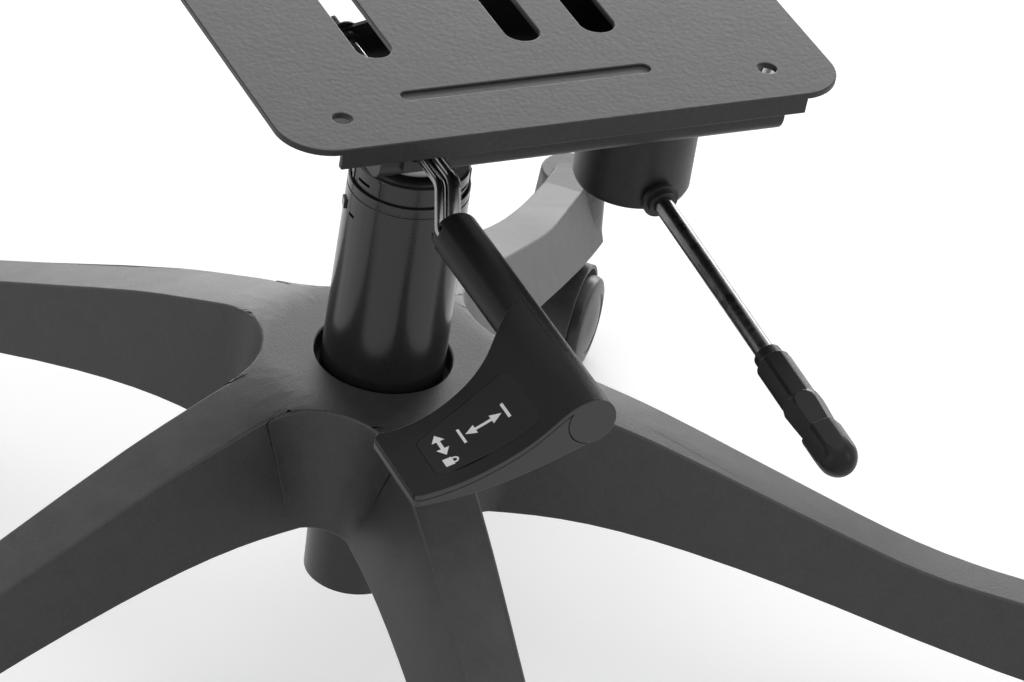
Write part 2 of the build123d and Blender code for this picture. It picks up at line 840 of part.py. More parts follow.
def seat_plate():
    """Pressed plate with side lips, pivot ears and four holes for the seat's bolts."""
    rear = plate_middle_y - plate_length / 2
    front = plate_middle_y + plate_length / 2
    outline = Pos(0, plate_middle_y) * RectangleRounded(2 * plate_half_width, plate_length, plate_corner)
    plate = Pos(0, 0, plate_under) * extrude(outline, plate_sheet)
    ear_inner = tub_half_width + ear_gap
    for sign in (1, -1):
        lip_x = sorted((sign * (plate_half_width - plate_sheet), sign * plate_half_width))
        plate += block(*lip_x, rear + plate_corner, front - plate_corner, plate_under - plate_lip, plate_under)
        ear_x = sorted((sign * ear_inner, sign * (ear_inner + ear_sheet)))
        ear = rod_x(ear_radius, *ear_x, pivot_y, pivot_z)
        ear += block(*ear_x, pivot_y - ear_radius - 14, pivot_y + 12, pivot_z, plate_under)
        ear &= block(-100, 100, 0, front - 0.5, 300, plate_under)
        plate += ear
        for y_side in (1, -1):
            centre = (sign * bolt_spacing_x / 2, plate_middle_y + y_side * bolt_spacing_y / 2)
            plate -= disc(bolt_hole_radius, plate_under - 5, plate_under + 10, *centre)
    plate -= rod_x(pivot_radius + 2.0 + press, -90, 90, pivot_y, pivot_z)
    window = SlotOverall(66, 16)
    for y in (-40, 30, 66):
        plate -= Pos(0, y, plate_under - 5) * extrude(window, 20)
    for x in (bead_x, -bead_x):
        ridge = extrude(SlotOverall(bead_length, bead_width, rotation=90), plate_sheet)
        groove = extrude(SlotOverall(bead_length - 3, bead_width - 3, rotation=90), plate_sheet)
        plate += Pos(x, 15, plate_under - bead_depth) * ridge
        plate -= Pos(x, 15, plate_under + plate_sheet - bead_depth) * groove
    return plate


def upper_spring_seat():
    body = disc(20.0, plate_under - spring_seat, plate_under - press, 0, barrel_y)
    body += disc(12.5, plate_under - spring_seat - 6, plate_under - 1, 0, barrel_y)
    return body


def comb_from():
    """Where the comb's inner face stands, just past the retracted tooth."""
    return slider_x + slider_sheet + tooth_length + tooth_gap


def lock_comb():
    """Tab under the seat plate, with a window for the tooth at each end of the tilt."""
    x_from = comb_from()
    x_to = x_from + comb_sheet
    low_y = comb_y - comb_half_depth
    comb = block(x_from, x_to, low_y, comb_y + comb_half_depth, comb_foot, plate_under - press)
    tooth = block(
        x_from - 1, x_to + 1,
        comb_y - tooth_half_width - window_slack, comb_y + tooth_half_width + window_slack,
        tooth_z - tooth_half_height - window_slack, tooth_z + tooth_half_height + window_slack,
    )
    pivot = Pos(0, pivot_y, pivot_z)
    for turn in (0, tilt_limit):
        comb -= pivot * Rot(-turn, 0, 0) * pivot.inverse() * tooth
    return comb


def tooth_block():
    """The slider's tooth, which enters the comb when the slider is pulled out."""
    return block(
        slider_x + 1, slider_x + slider_sheet + tooth_length,
        comb_y - tooth_half_width, comb_y + tooth_half_width,
        tooth_z - tooth_half_height, tooth_z + tooth_half_height,
    )


# Spring barrel and tension drive
def rivet_places():
    ring = (barrel_radius + barrel_flange_radius) / 2
    places = []
    for number in range(rivet_count):
        turn = math.radians(90 + 360 / rivet_count * number)
        places.append((ring * math.cos(turn), barrel_y + ring * math.sin(turn)))
    return places


def lever_frame():
    """The tension lever's own frame: local Z runs out along the lever from the barrel axis."""
    slope = math.radians(lever_slope)
    out = (math.cos(slope), 0, -math.sin(slope))
    return Plane(origin=(0, barrel_y, lever_axis_height), x_dir=(0, 1, 0), z_dir=out)


def along_lever(radius, start, end):
    return lever_frame() * Pos(0, 0, (start + end) / 2) * Cylinder(radius, end - start)


def spring_barrel():
    floor_top = tub_floor + tub_sheet
    inner = barrel_radius - barrel_wall
    cup = revolved((
        (screw_journal + running, barrel_foot),
        (barrel_radius - barrel_edge, barrel_foot),
        (barrel_radius - 1.2, barrel_foot + 1.2),
        (barrel_radius, barrel_foot + barrel_edge),
        (barrel_radius, floor_top + press),
        (barrel_flange_radius, floor_top + press),
        (barrel_flange_radius, floor_top + 2.0),
        (inner, floor_top + 2.0),
        (inner, barrel_foot + barrel_edge),
        (inner - 2, barrel_foot + barrel_wall),
        (screw_journal + running, barrel_foot + barrel_wall),
    ))
    flat_floor = tub_half_width - tub_corner
    cup &= block(-flat_floor, flat_floor, -60, 60, barrel_foot - 1, floor_top + 10)
    cup = Pos(0, barrel_y, 0) * cup
    cup -= along_lever(lever_radius + 2.0, 10, 60)
    for x, y in rivet_places():
        cup -= disc(rivet_radius + press, floor_top - 5, floor_top + 10, x, y)
    return cup


def barrel_rivets():
    floor_top = tub_floor + tub_sheet
    rivets = []
    for x, y in rivet_places():
        rivet = disc(rivet_radius, tub_floor - rivet_head, floor_top + 2.0 + rivet_head, x, y)
        rivet += disc(rivet_head_radius, tub_floor - rivet_head, tub_floor - press, x, y)
        rivet += disc(rivet_head_radius, floor_top + 2.0 + press, floor_top + 2.0 + rivet_head, x, y)
        rivets.append(rivet)
    return rivets


def tension_screw():
    screw = disc(screw_journal, barrel_foot - 1.0, barrel_foot + barrel_wall + 1, 0, barrel_y)
    screw += disc(screw_radius, barrel_foot + barrel_wall + 0.5, screw_top, 0, barrel_y)
    return screw


def crown_gear():
    gear = disc(gear_radius, gear_foot, gear_foot + gear_sheet, 0, barrel_y)
    half = gear_tooth_width / 2
    for number in range(gear_teeth):
        turn = 360 / gear_teeth * (number + 0.5)
        tooth = block(gear_tooth_from, gear_radius - 0.4, -half, half, -gear_tooth_height, 1)
        gear += Pos(0, barrel_y, gear_foot) * Rot(0, 0, turn) * tooth
    return gear - disc(screw_radius + press, gear_foot - 9, gear_foot + 9, 0, barrel_y)


def spring_cup():
    body = disc(cup_radius, cup_foot, cup_foot + cup_sheet, 0, barrel_y)
    body += disc(spring_radius - spring_wire - 1, cup_foot, cup_foot + cup_sheet + 8, 0, barrel_y)
    return body - disc(screw_radius + running, cup_foot - 5, cup_foot + 20, 0, barrel_y)


def print_coil_gap(pitch):
    """Measures the least gap between turns of the coil, on points along it."""
    steps = 90
    points = []
    for step in range(spring_turns * steps):
        turn = 2 * math.pi * step / steps
        points.append((spring_radius * math.cos(turn), spring_radius * math.sin(turn), pitch * step / steps))
    first = points[0]
    least = min(math.dist(first, point) for point in points[steps // 2:])
    print(f"tilt spring: least gap between turns {least - 2 * spring_wire:.2f} mm")


def tilt_spring():
    """Coil spring between the cup and the upper seat, with flat ground ends."""
    low = cup_foot + cup_sheet + seat
    high = plate_under - spring_seat - seat
    length = high - low - 2 * spring_wire + 1.0
    pitch = length / spring_turns
    print_coil_gap(pitch)
    path = Helix(pitch, length, spring_radius)
    start = path @ 0
    section = Plane(origin=start, z_dir=path % 0) * Circle(spring_wire)
    coil = sweep(section, path=path, is_frenet=True)
    coil = Pos(0, barrel_y, low + spring_wire - 0.5) * coil
    return coil & block(-60, 60, 60, 160, low, high)


# Tension lever
def tension_rod():
    """Rod of the tension lever, stepped down inside the barrel for its pinion."""
    step = barrel_radius - barrel_wall - 2.0
    journal = along_lever(lever_journal_radius, lever_from, step + 1)
    return journal + along_lever(lever_radius, step, lever_grip_from + lever_rod_depth)


def lever_bush():
    tube = along_lever(lever_radius + 2.0 - seat, barrel_radius - 6, barrel_radius + 6)
    flange = along_lever(lever_radius + 4.0, barrel_radius + 1.2, barrel_radius + 3.5)
    bore = along_lever(lever_radius + running, barrel_radius - 10, barrel_radius + 10)
    return tube + flange - bore


def bevel_pinion():
    end = pinion_from + pinion_length
    body = along_lever(pinion_root, pinion_from, end)
    for number in range(pinion_teeth):
        turn = 360 / pinion_teeth * number
        tooth = Pos((pinion_root - 1 + pinion_tip) / 2, 0, (pinion_from + end) / 2)
        tooth *= Box(pinion_tip - pinion_root + 1, pinion_tooth_width, pinion_length)
        body += lever_frame() * Rot(0, 0, turn) * tooth
    return body - along_lever(lever_journal_radius + press, 0, 60)


def tension_grip():
    """Six-sided twist grip: collar, slim neck, wide end with a ramp and lip in each side, dome."""
    frame = lever_frame()
    neck_from = lever_grip_from + lever_collar
    wide = lever_grip_wide_radius
    dome_middle = (wide * 0.76, lever_grip_dome_from + 0.72 * (lever_grip_to - lever_grip_dome_from))
    edges = [
        Polyline(
            (0, lever_grip_from),
            (lever_collar_radius, lever_grip_from),
            (lever_collar_radius, neck_from),
            (lever_grip_radius - 0.6, neck_from),
            (lever_grip_radius, neck_from + 0.8),
            (lever_grip_radius, lever_scoop_from),
            (wide, lever_grip_wide_from),
            (wide, lever_grip_dome_from),
        ),
        Spline(
            (wide, lever_grip_dome_from),
            dome_middle,
            (0, lever_grip_to),
            tangents=((0, 1), (-1, 0)),
        ),
        Line((0, lever_grip_to), (0, lever_grip_from)),
    ]
    body = revolve(Plane.XZ * make_face(edges), Axis.Z)
    body &= faceted_prism(lever_grip_radius, lever_grip_from, lever_grip_wide_from - 3) + faceted_prism(
        wide, lever_grip_wide_from - 3, lever_grip_to + 1
    )
    flat = wide * facet_share
    ramp = Polyline(
        (flat + 5, 0, lever_scoop_from),
        (flat, 0, lever_scoop_from),
        (flat - lever_scoop_depth, 0, lever_scoop_to),
        (flat + 5, 0, lever_scoop_to + lever_scoop_lip + 5),
        close=True,
    )
    scoop = extrude(make_face(ramp), 30, both=True)
    for number in range(lever_grip_sides):
        turn = lever_grip_turn + 360 / lever_grip_sides * (number + 0.5)
        body -= Rot(0, 0, turn) * scoop
    body -= disc(lever_radius + press, lever_grip_from - 1, lever_grip_from + lever_rod_depth + press)
    return frame * body


def faceted_prism(radius, start, end):
    """A six-sided bar round local Z whose flats lie a little inside radius."""
    corner = radius * facet_share / math.cos(math.pi / lever_grip_sides)
    bar = extrude(RegularPolygon(corner, lever_grip_sides, rotation=lever_grip_turn), end - start)
    return Pos(0, 0, start) * bar


# Paddle lever
def bent_rod(radius, offset, x_from, depth):
    """A cranked rod: straight through the mechanism, down, then out into the grip."""
    points = (
        (x_from, lift_rod_y - offset, lift_rod_z),
        (lift_rod_bend_x, lift_rod_y - offset, lift_rod_z),
        (paddle_from - 2.0, paddle_axis_y - offset, paddle_axis_z),
        (paddle_from + depth, paddle_axis_y - offset, paddle_axis_z),
    )
    path = FilletPolyline(*points, radius=lift_rod_bend)
    section = Plane(origin=points[0], z_dir=(1, 0, 0)) * Circle(radius)
    return sweep(section, path=path)


def lift_rod():
    """Lift rod with the tongue that presses the release pin."""
    rod = bent_rod(lift_rod_radius, 0.0, lift_rod_inner_end, paddle_rod_depth)
    tongue_under = pin_top + pin_gap
    tongue = block(
        tongue_from, tongue_to, lift_rod_y - 2.0, tongue_end,
        tongue_under, tongue_under + tongue_sheet,
    )
    return rod + tongue


def lock_rod():
    return bent_rod(lock_rod_radius, lock_rod_offset, lock_rod_from, paddle_rod_depth - 15)


def lock_slider():
    """Slide plate that the two rods carry, with the tooth that locks the tilt."""
    x_to = slider_x + slider_sheet
    outline = (
        (lift_rod_y - lock_rod_offset - 6, 334),
        (comb_y - 31, 334),
        (comb_y + 9, 340),
        (comb_y + 9, tooth_z + 5),
        (comb_y - 9, tooth_z + 5),
        (comb_y - 19, 346),
        (lift_rod_y - lock_rod_offset - 6, 346),
    )
    plate = side_plane_block(outline, slider_x, x_to)
    plate += tooth_block()
    plate -= rod_x(lift_rod_radius + running, 0, 60, lift_rod_y, lift_rod_z)
    slot_y = lift_rod_y - lock_rod_offset
    plate -= block(
        0, 60, slot_y - lock_rod_radius - 0.6, slot_y + lock_rod_radius + 0.6,
        lift_rod_z - lock_rod_radius - 0.5, lift_rod_z + lock_rod_radius + 1.9,
    )
    return plate


def paddle_plan():
    """Plan outline of the paddle's plate, as a tall prism."""
    far = paddle_far_edge_x
    tip = paddle_tip_y
    near = paddle_to
    edges = [
        Spline((far - 30, paddle_axis_y), (far - 24, -33.4), (far - 12.8, -44.6), (far - 3.5, -62.7), (far, tip + 3)),
        RadiusArc((far, tip + 3), (far + 3, tip), -3),
        Line((far + 3, tip), (near - 3, tip)),
        RadiusArc((near - 3, tip), (near, tip + 3), -3),
        Line((near, tip + 3), (near, paddle_axis_y)),
        Line((near, paddle_axis_y), (far - 30, paddle_axis_y)),
    ]
    return Pos(0, 0, 250) * extrude(make_face(edges), 120)


def paddle_top_line(drop):
    """The plate's concave top line, lowered by drop, from the tip to above the grip's axis."""
    return Spline(
        (paddle_tip_y - 1, paddle_tip_top - drop),
        (-86.5, 304.9 - drop),
        (-63.6, 312.9 - drop),
        (-42.5, 326.6 - drop),
        (-31.5, 336.0 - drop),
        (paddle_axis_y, paddle_axis_z + paddle_radius + 0.2 - drop),
    )


def paddle_under_line():
    return Spline(
        (paddle_tip_y - 1, paddle_tip_under),
        (-70.3, 301.0),
        (-45.0, 308.2),
        (paddle_axis_y, paddle_axis_z - paddle_radius),
    )


def paddle_prism(upper, lower):
    """The plate between two lines of the side view, as a prism along X."""
    tip_wall = Line(lower @ 0, upper @ 0)
    root_wall = Line(upper @ 1, lower @ 1)
    face = Plane.YZ * make_face([upper, root_wall, lower, tip_wall])
    prism = Pos(paddle_far_edge_x - 40, 0, 0) * extrude(face, 100, dir=(1, 0, 0))
    return prism & paddle_plan()


def grip_barrel():
    return rod_x(paddle_radius, paddle_from, paddle_to, paddle_axis_y, paddle_axis_z)


def rod_bores():
    """Holes in the paddle for the two rods, open towards their bends."""
    to = paddle_from + paddle_rod_depth
    bores = rod_x(lift_rod_radius + press, paddle_from + 3, to + press, paddle_axis_y, paddle_axis_z)
    lock_y = paddle_axis_y - lock_rod_offset
    bores += rod_x(lock_rod_radius + press, paddle_from + 3, to - 15 + press, lock_y, paddle_axis_z)
    mouth = block(
        paddle_from - 1, paddle_from + 4, lock_y - 4, paddle_axis_y + 5.5,
        paddle_axis_z - 5.5, paddle_axis_z + 6.5,
    )
    return bores + mouth


def label_prism(depth):
    """The label's shape on the plate, reaching down by depth below the top line."""
    outline = Polyline(
        (222.5, -84.5),
        (199.0, -84.5),
        (192.5, -70.0),
        (188.0, -54.0),
        (186.5, -41.0),
        (223.5, -41.0),
        close=True,
    )
    plan = extrude(Pos(0, 0, 250) * fillet(make_face(outline).vertices(), label_corner), 120)
    upper = paddle_top_line(-3.0)
    lower = paddle_top_line(depth)
    face = Plane.YZ * make_face([upper, Line(upper @ 1, lower @ 1), lower, Line(lower @ 0, upper @ 0)])
    band = Pos(170, 0, 0) * extrude(face, 60, dir=(1, 0, 0))
    return plan & band


def paddle_grip():
    """Grip barrel and the plate's upper shell, with the label's recess."""
    shell = paddle_prism(paddle_top_line(0.0), paddle_top_line(paddle_seam))
    body = grip_barrel() + shell
    body -= rod_bores()
    return body - label_prism(label_depth)


def paddle_underside():
    """Lower shell of the plate, under the seam."""
    lower = paddle_prism(paddle_top_line(paddle_seam + paddle_seam_gap), paddle_under_line())
    clear = rod_x(paddle_radius + paddle_seam_gap, paddle_from - 5, paddle_to + 5, paddle_axis_y, paddle_axis_z)
    return lower - clear


def paddle_label():
    """Thin inset panel in the plate's recess."""
    panel = label_prism(label_depth - seat)
    upper = paddle_top_line(0.15)
    lower = paddle_top_line(3.0)
    face = Plane.YZ * make_face([upper, Line(upper @ 1, lower @ 1), lower, Line(lower @ 0, upper @ 0)])
    return panel & (Pos(170, 0, 0) * extrude(face, 60, dir=(1, 0, 0)))


save("star_base", star_base())
make_casters()
save("column_tube", column_tube())
save("guide_bush", guide_bush())
save("thrust_bearing", *thrust_bearing())
save("piston_rod", piston_rod())
save("rod_clip", rod_clip())
save("rod_buffer", rod_buffer())
save("piston", piston())
save("gas_cylinder", gas_cylinder())
save("release_pin", release_pin())
save("cover_outer", cover_outer())
save("cover_inner", cover_inner())
save("mech_housing", mech_housing())
save("lever_bushes", *lever_bushes())
save("column_socket", column_socket())
save("pivot_shaft", pivot_shaft())
save("pivot_circlips", *pivot_circlips())
save("pivot_bushes", *pivot_bushes())
save("seat_plate", seat_plate())
save("upper_spring_seat", upper_spring_seat())
save("lock_comb", lock_comb())
save("spring_barrel", spring_barrel())
save("barrel_rivets", *barrel_rivets())
save("tension_screw", tension_screw())
save("crown_gear", crown_gear())
save("spring_cup", spring_cup())
save("tilt_spring", tilt_spring())
save("tension_rod", tension_rod())
save("tension_bush", lever_bush())
save("bevel_pinion", bevel_pinion())
save("tension_grip", tension_grip())
save("lift_rod", lift_rod())
save("lock_rod", lock_rod())
save("lock_slider", lock_slider())
save("paddle_grip", paddle_grip())
save("paddle_underside", paddle_underside())
save("paddle_label", paddle_label())
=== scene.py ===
# %% [markdown]
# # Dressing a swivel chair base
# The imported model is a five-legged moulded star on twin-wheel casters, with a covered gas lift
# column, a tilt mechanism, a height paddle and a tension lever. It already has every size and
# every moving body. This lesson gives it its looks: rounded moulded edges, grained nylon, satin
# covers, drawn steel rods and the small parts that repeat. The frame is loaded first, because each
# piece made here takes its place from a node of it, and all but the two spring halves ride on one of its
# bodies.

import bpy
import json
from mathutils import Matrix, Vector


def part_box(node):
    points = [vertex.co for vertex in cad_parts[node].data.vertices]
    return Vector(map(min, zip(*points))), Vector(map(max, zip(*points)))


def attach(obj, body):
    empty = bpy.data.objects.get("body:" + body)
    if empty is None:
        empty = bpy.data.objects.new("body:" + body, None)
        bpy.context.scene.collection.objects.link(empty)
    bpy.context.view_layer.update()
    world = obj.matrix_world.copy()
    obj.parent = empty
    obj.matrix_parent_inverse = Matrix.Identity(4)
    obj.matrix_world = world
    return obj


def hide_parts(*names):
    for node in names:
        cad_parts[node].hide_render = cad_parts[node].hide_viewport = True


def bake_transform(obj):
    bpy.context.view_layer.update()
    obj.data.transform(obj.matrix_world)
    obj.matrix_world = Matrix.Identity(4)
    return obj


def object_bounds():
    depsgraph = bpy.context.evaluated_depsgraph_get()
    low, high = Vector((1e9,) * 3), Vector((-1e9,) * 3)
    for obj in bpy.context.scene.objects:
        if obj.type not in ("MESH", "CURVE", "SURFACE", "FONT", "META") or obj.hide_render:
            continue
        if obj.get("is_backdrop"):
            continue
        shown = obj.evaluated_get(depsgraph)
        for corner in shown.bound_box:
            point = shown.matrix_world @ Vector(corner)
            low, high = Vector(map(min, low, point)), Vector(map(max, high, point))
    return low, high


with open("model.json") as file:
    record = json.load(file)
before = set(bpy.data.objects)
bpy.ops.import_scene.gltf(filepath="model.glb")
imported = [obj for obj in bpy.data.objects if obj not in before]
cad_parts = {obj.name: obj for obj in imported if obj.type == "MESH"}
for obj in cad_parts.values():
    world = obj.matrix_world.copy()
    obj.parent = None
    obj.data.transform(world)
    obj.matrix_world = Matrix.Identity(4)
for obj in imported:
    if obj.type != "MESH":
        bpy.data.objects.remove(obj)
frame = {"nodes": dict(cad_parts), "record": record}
cad_box = [list(corner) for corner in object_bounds()]

import json
import math

import bmesh
import bpy
from mathutils import Matrix, Vector
from mathutils.bvhtree import BVHTree

nodes = frame["nodes"]
subparts = frame["record"]["subparts"]
slot_of = {row["node"]: row["material_slot"] for row in subparts}
body_of = {}
for body, members in frame["record"]["behaviour"]["bodies"].items():
    for member in members:
        body_of[member] = body
print("box in mm", [[round(1000 * v, 1) for v in corner] for corner in cad_box])

# %% [markdown]
# ## Camera
# The photograph was taken with a long lens from above, on the side of the two levers. A camera
# could be turned by eye until the legs line up. Here its place was worked out from points of the
# object that can be found in the photograph, so it is written as three directions and a point,
# which are the four columns of its matrix.

# %% Camera
def put(name, data):
    """A new object in the scene."""
    made = bpy.data.objects.new(name, data)
    bpy.context.scene.collection.objects.link(made)
    return made


right_of_view = (0.40619, 0.90353, 0.13676)
top_of_view = (-0.55782, 0.12662, 0.82027)
back_of_view = (0.72382, -0.40948, 0.5554)
eye = (1.70012, -0.8969, 1.50205)

lens = bpy.data.cameras.new("long_lens")
lens.sensor_width = 36.0
lens.lens = 180.4
camera = put("long_lens", lens)
rows = zip(right_of_view, top_of_view, back_of_view, eye)
camera.matrix_world = Matrix([*rows, (0, 0, 0, 1)])
bpy.context.scene.camera = camera
bpy.context.scene.view_settings.view_transform = "Standard"
print("the camera is", round(camera.location.length, 2), "m from the foot of the column")

# %% [markdown]
# ## Studio
# The photograph has a white ground and no corner, like a table top studio. A curved white backdrop
# would show the same, but it would also throw light up under the legs. So the world is white for
# the eye and for mirror rays, which gives dark glossy plastic something bright to reflect, and it
# is dimmer for the light that falls on the object. The floor works the same way, and it also
# glows a little for the eye and for mirror rays, which brings it closer to white. One wide softbox
# stands low on the far side and gives the leg tops their pale sheen, one hangs overhead, and two
# weak ones fill the near side.

# %% Node helpers
def node(tree, kind, column, row, **settings):
    """Adds a node at a grid place. The settings are the node's own, and not its inputs."""
    made = tree.nodes.new(kind)
    made.location = (column * 190, row * -170)
    for name, value in settings.items():
        setattr(made, name, value)
    return made


def wire(tree, value, into):
    """Feeds an input: a socket is linked to it, and a plain number or vector is set on it."""
    if isinstance(value, bpy.types.NodeSocket):
        tree.links.new(value, into)
    else:
        into.default_value = value


def arithmetic(tree, operation, column, row, first, second):
    """A math node whose two inputs are sockets or plain numbers."""
    made = node(tree, "ShaderNodeMath", column, row, operation=operation)
    wire(tree, first, made.inputs[0])
    wire(tree, second, made.inputs[1])
    return made.outputs[0]


def tinted(tree, column, row, factor, below, above):
    """A colour that goes from below to above with the factor. Each is a socket or three numbers."""
    mix = node(tree, "ShaderNodeMix", column, row, data_type="RGBA")
    wire(tree, factor, mix.inputs["Factor"])
    for name, value in (("A", below), ("B", above)):
        wire(tree, (*value, 1) if isinstance(value, tuple) else value, mix.inputs[name])
    return mix.outputs["Result"]


def two_faced_colour(tree, lit, seen, into):
    """Sends one colour to scattered light and another to camera, mirror and glass rays."""
    path = node(tree, "ShaderNodeLightPath", -6, 0).outputs
    mirror = arithmetic(tree, "MAXIMUM", -5, 0, path["Is Camera Ray"], path["Is Glossy Ray"])
    glass = arithmetic(tree, "MAXIMUM", -4, 0, mirror, path["Is Transmission Ray"])
    wire(tree, tinted(tree, -2, 0, glass, lit, seen), into)


# %% World and floor
world = bpy.data.worlds.new("white_studio")
world.use_nodes = True
bpy.context.scene.world = world
sky = world.node_tree.nodes["Background"].inputs["Color"]
two_faced_colour(world.node_tree, lit=(0.5, 0.5, 0.51), seen=(1.0, 1.0, 1.0), into=sky)

reach = 9.0
corners = [(-reach, -reach, 0), (reach, -reach, 0), (reach, reach, 0), (-reach, reach, 0)]
floor_mesh = bpy.data.meshes.new("studio_floor")
floor_mesh.from_pydata(corners, [], [(0, 1, 2, 3)])
floor = put("studio_floor", floor_mesh)
paper = bpy.data.materials.new("white_paper")
paper.use_nodes = True
shader = paper.node_tree.nodes["Principled BSDF"].inputs
shader["Roughness"].default_value = 0.85
shader["Specular IOR Level"].default_value = 0.15
shader["Emission Strength"].default_value = 1.0
for channel, lit, seen in (("Base Color", 0.3, 0.94), ("Emission Color", 0.0, 0.24)):
    two_faced_colour(paper.node_tree, (lit, lit, lit), (seen, seen, seen), shader[channel])
floor_mesh.materials.append(paper)
floor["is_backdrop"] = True
print("the paper is", 2 * reach, "m wide")


# %% Softboxes
def softbox(name, place, aim, width, height, watts):
    lamp = bpy.data.lights.new(name, "AREA")
    lamp.shape = "RECTANGLE"
    lamp.size = width
    lamp.size_y = height
    lamp.energy = watts
    made = put(name, lamp)
    made.location = place
    turn = (Vector(aim) - Vector(place)).to_track_quat("-Z", "Y")
    made.rotation_euler = turn.to_euler()


softbox("back_box", place=(-2.2, 1.25, 0.85), aim=(0, 0, 0.15), width=2.4, height=0.9, watts=46)
softbox("top_box", place=(-0.1, 0.1, 2.6), aim=(0, 0, 0.1), width=2.0, height=2.0, watts=10)
softbox("near_box", place=(1.6, 1.4, 1.3), aim=(0, 0, 0.2), width=0.6, height=1.4, watts=5)
softbox("low_box", place=(0.6, -2.0, 0.9), aim=(0, 0, 0.2), width=0.5, height=1.2, watts=4)

# %% [markdown]
# ## Effects that several finishes share
# A plastic moulding shows the fine eroded texture of its steel mould, a cloudy variation where
# hands and cloths have been, paler rims where it rubs, and dust on what faces up. The pale rims
# also carry a painted highlight, which stands in for the light that the thin rounds catch. Each of
# these could be drawn again in every material. They are node groups instead, built once, with inputs
# for size and amount, and each material sets its own numbers. The groups put out only masks and
# heights. The shader itself stays in the material.

# %% Making a group
FLOAT = "NodeSocketFloat"
VECTOR = "NodeSocketVector"


def new_group(name, takes, gives):
    """An empty shader group with named sockets. takes holds (name, kind, default) rows."""
    tree = bpy.data.node_groups.new(name, "ShaderNodeTree")
    for label, kind, value in takes:
        socket = tree.interface.new_socket(label, in_out="INPUT", socket_type=kind)
        if value is not None:
            socket.default_value = value
    for label in gives:
        tree.interface.new_socket(label, in_out="OUTPUT", socket_type=FLOAT)
    entry = node(tree, "NodeGroupInput", -8, 0)
    leave = node(tree, "NodeGroupOutput", 3, 0)
    return tree, entry.outputs, leave.inputs


def texture(tree, kind, column, row, coordinates, scale, feature=None, **numbers):
    """A noise or pebble texture with its detail given by name."""
    made = node(tree, kind, column, row)
    if feature:
        made.feature = feature
    wire(tree, coordinates, made.inputs["Vector"])
    wire(tree, scale, made.inputs["Scale"])
    for name, value in numbers.items():
        made.inputs[name].default_value = value
    return made.outputs


def spread(tree, value, column, row, low, high, to_low=0.0, to_high=1.0):
    """Stretches low..high of a value over to_low..to_high, with its ends held."""
    made = node(tree, "ShaderNodeMapRange", column, row)
    made.inputs["From Min"].default_value = low
    made.inputs["From Max"].default_value = high
    made.inputs["To Min"].default_value = to_low
    made.inputs["To Max"].default_value = to_high
    wire(tree, value, made.inputs["Value"])
    return made.outputs["Result"]


def split(tree, column, row, vector):
    """The X, Y and Z of a vector."""
    made = node(tree, "ShaderNodeSeparateXYZ", column, row)
    wire(tree, vector, made.inputs["Vector"])
    return made.outputs


NOISE = "ShaderNodeTexNoise"
PEBBLES = "ShaderNodeTexVoronoi"


# %% Mould grain
def build_mould_grain():
    """Eroded mould texture: a fine pebble over a finer noise, and the same as colour flecks."""
    takes = [("Coordinates", VECTOR, None), ("Pebbles per metre", FLOAT, 900.0), ("Depth", FLOAT, 1.0)]
    tree, given, gives = new_group("mould grain", takes, ["Height", "Flecks"])
    scale = given["Pebbles per metre"]
    pebble = texture(tree, PEBBLES, -5, 0, given["Coordinates"], scale, feature="SMOOTH_F1", Smoothness=0.6)
    noise_scale = arithmetic(tree, "MULTIPLY", -6, 3, scale, 0.8)
    fine = texture(tree, NOISE, -5, 2, given["Coordinates"], noise_scale, Detail=3.0, Roughness=0.65)
    both = arithmetic(tree, "ADD", -3, 0, pebble["Distance"], fine[0])
    wire(tree, arithmetic(tree, "MULTIPLY", -1, 0, both, given["Depth"]), gives["Height"])
    wire(tree, spread(tree, fine[0], -1, 2, low=0.36, high=0.66), gives["Flecks"])
    return tree


mould_grain = build_mould_grain()
put_out = [s.name for s in mould_grain.interface.items_tree if s.in_out == "OUTPUT"]
print(mould_grain.name, "puts out", put_out)


# %% Cloudy handling marks
def build_handling():
    """Soft clouds a few centimetres wide, broken by short wipe marks."""
    takes = [("Coordinates", VECTOR, None), ("Clouds per metre", FLOAT, 30.0),
             ("Wipes per metre", FLOAT, 160.0)]
    tree, given, gives = new_group("handling clouds", takes, ["Clouds", "Wipes"])
    cloud_scale = given["Clouds per metre"]
    cloud = texture(tree, NOISE, -5, 0, given["Coordinates"], cloud_scale, Detail=4.0, Distortion=0.4)
    long_way = node(tree, "ShaderNodeMapping", -6, 2)
    long_way.inputs["Scale"].default_value = (1.0, 0.12, 0.4)
    long_way.inputs["Rotation"].default_value = (0.3, 0.2, 0.9)
    wire(tree, given["Coordinates"], long_way.inputs["Vector"])
    wipe_place = long_way.outputs["Vector"]
    wipe = texture(tree, NOISE, -5, 2, wipe_place, given["Wipes per metre"], Detail=5.0)
    wire(tree, spread(tree, cloud[0], -2, 0, low=0.3, high=0.7), gives["Clouds"])
    wire(tree, spread(tree, wipe[0], -2, 2, low=0.42, high=0.72), gives["Wipes"])
    return tree


handling_clouds = build_handling()


# %% Rubbed rims with a painted highlight
def build_rubbed_and_highlit_rims():
    """Breaks the rim mask of a rounded piece into uneven stretches of rubbed wear and painted highlight."""
    takes = [("Coordinates", VECTOR, None), ("Rim", FLOAT, 0.0), ("Patches per metre", FLOAT, 90.0)]
    tree, given, gives = new_group("rubbed and highlit rims", takes, ["Rubbed"])
    patch_scale = given["Patches per metre"]
    patch = texture(tree, NOISE, -5, 0, given["Coordinates"], patch_scale, Detail=4.0, Roughness=0.7)
    kept = spread(tree, patch[0], -3, 0, low=0.35, high=0.68, to_low=0.35)
    wire(tree, arithmetic(tree, "MULTIPLY", -1, 0, kept, given["Rim"]), gives["Rubbed"])
    return tree


rubbed_and_highlit_rims = build_rubbed_and_highlit_rims()


